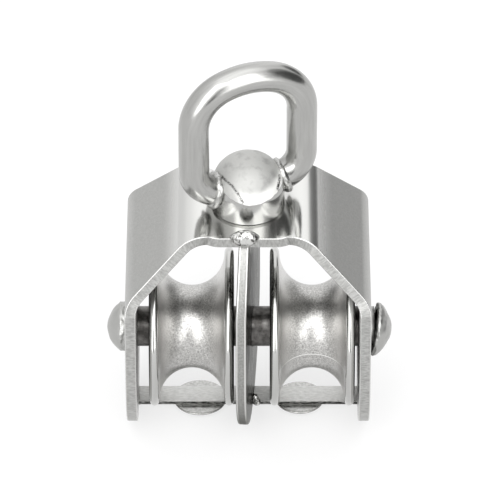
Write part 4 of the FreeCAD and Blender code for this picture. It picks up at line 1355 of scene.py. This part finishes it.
# %% The tent
world = bpy.data.worlds.new("tent")
bpy.context.scene.world = world
world.use_nodes = True
tree = world.node_tree
way = add_node(tree, "ShaderNodeTexCoord").outputs["Generated"]
height = add_node(tree, "ShaderNodeSeparateXYZ", None, {0: way}).outputs["Z"]
wall = add_node(tree, "ShaderNodeValToRGB", None, {"Fac": height})
for stop, (sine, level) in enumerate([(0.0, 1.05), (0.5, 1.12), (0.82, 1.4), (0.95, 2.1)]):
    ramp = wall.color_ramp.elements
    here = ramp[stop] if stop < 2 else ramp.new(sine)
    here.position, here.color = sine, (level, level, level, 1)
light_so_far = wall.outputs["Color"]


def heading(azimuth, elevation):
    """The direction with this azimuth, from the front to the right, and elevation, in degrees."""
    a, e = math.radians(azimuth), math.radians(elevation)
    return Vector((math.sin(a) * math.cos(e), -math.cos(a) * math.cos(e), math.sin(e)))


# Lighter and darker places on the tent's wall: azimuth, elevation, full to, gone at, strength.
PLACES = [(-22, 25, 8, 50, 0.5), (172, 15, 10, 35, 0.3), (141, 11, 9, 20, -1.0),
          (-142, 4, 10, 24, -0.16), (142, -6, 4, 14, 0.3), (5, 3, 4, 9, -1.3),
          (5, 15, 4, 9, -1.3), (6, 26, 4, 9, -1.2), (5, 50, 6, 14, 1.1), (80, 20, 12, 26, -1.0),
          (100, 8, 12, 26, -1.0), (95, 36, 12, 24, -0.9)]
for azimuth, elevation, full, gone, strength in PLACES:
    near = add_node(tree, "ShaderNodeVectorMath", {"operation": "DOT_PRODUCT"},
                    {0: way, 1: heading(azimuth, elevation)}).outputs["Value"]
    glow = add_node(tree, "ShaderNodeMapRange", {"interpolation_type": "SMOOTHSTEP"},
                    {"Value": near, "From Min": math.cos(math.radians(gone)),
                     "From Max": math.cos(math.radians(full)), "To Max": strength})
    light_so_far = add_node(tree, "ShaderNodeMath", {"operation": "ADD"},
                            {0: light_so_far, 1: glow.outputs["Result"]}).outputs["Value"]
light_so_far = add_node(tree, "ShaderNodeMath", {"operation": "MAXIMUM"},
                        {0: light_so_far, 1: 0.12}).outputs["Value"]
tree.links.new(light_so_far, tree.nodes["Background"].inputs["Strength"])
tree.nodes["Background"].inputs["Color"].default_value = (1, 1, 1, 1)
print("lighter and darker places on the tent:", len(PLACES))

# %% The soft boxes
BOX_HEIGHT = 1.0
BOX_ELEVATION = 33
BOX_DISTANCE = 0.8
for side_name, azimuth, width, power in (("left", -25, 0.34, 2.8), ("right", 33, 0.38, 2.9)):
    light = bpy.data.lights.new("softbox_" + side_name, "AREA")
    light.shape, light.size, light.size_y, light.energy = "RECTANGLE", width, BOX_HEIGHT, power
    lamp = in_scene(light.name, light)
    towards = heading(azimuth, BOX_ELEVATION)
    lamp.location = towards * BOX_DISTANCE
    lamp.rotation_euler = (-towards).to_track_quat("-Z", "Y").to_euler()
    print("soft box", side_name, "at", azimuth, "degrees")
bpy.context.scene.view_settings.view_transform = "Standard"
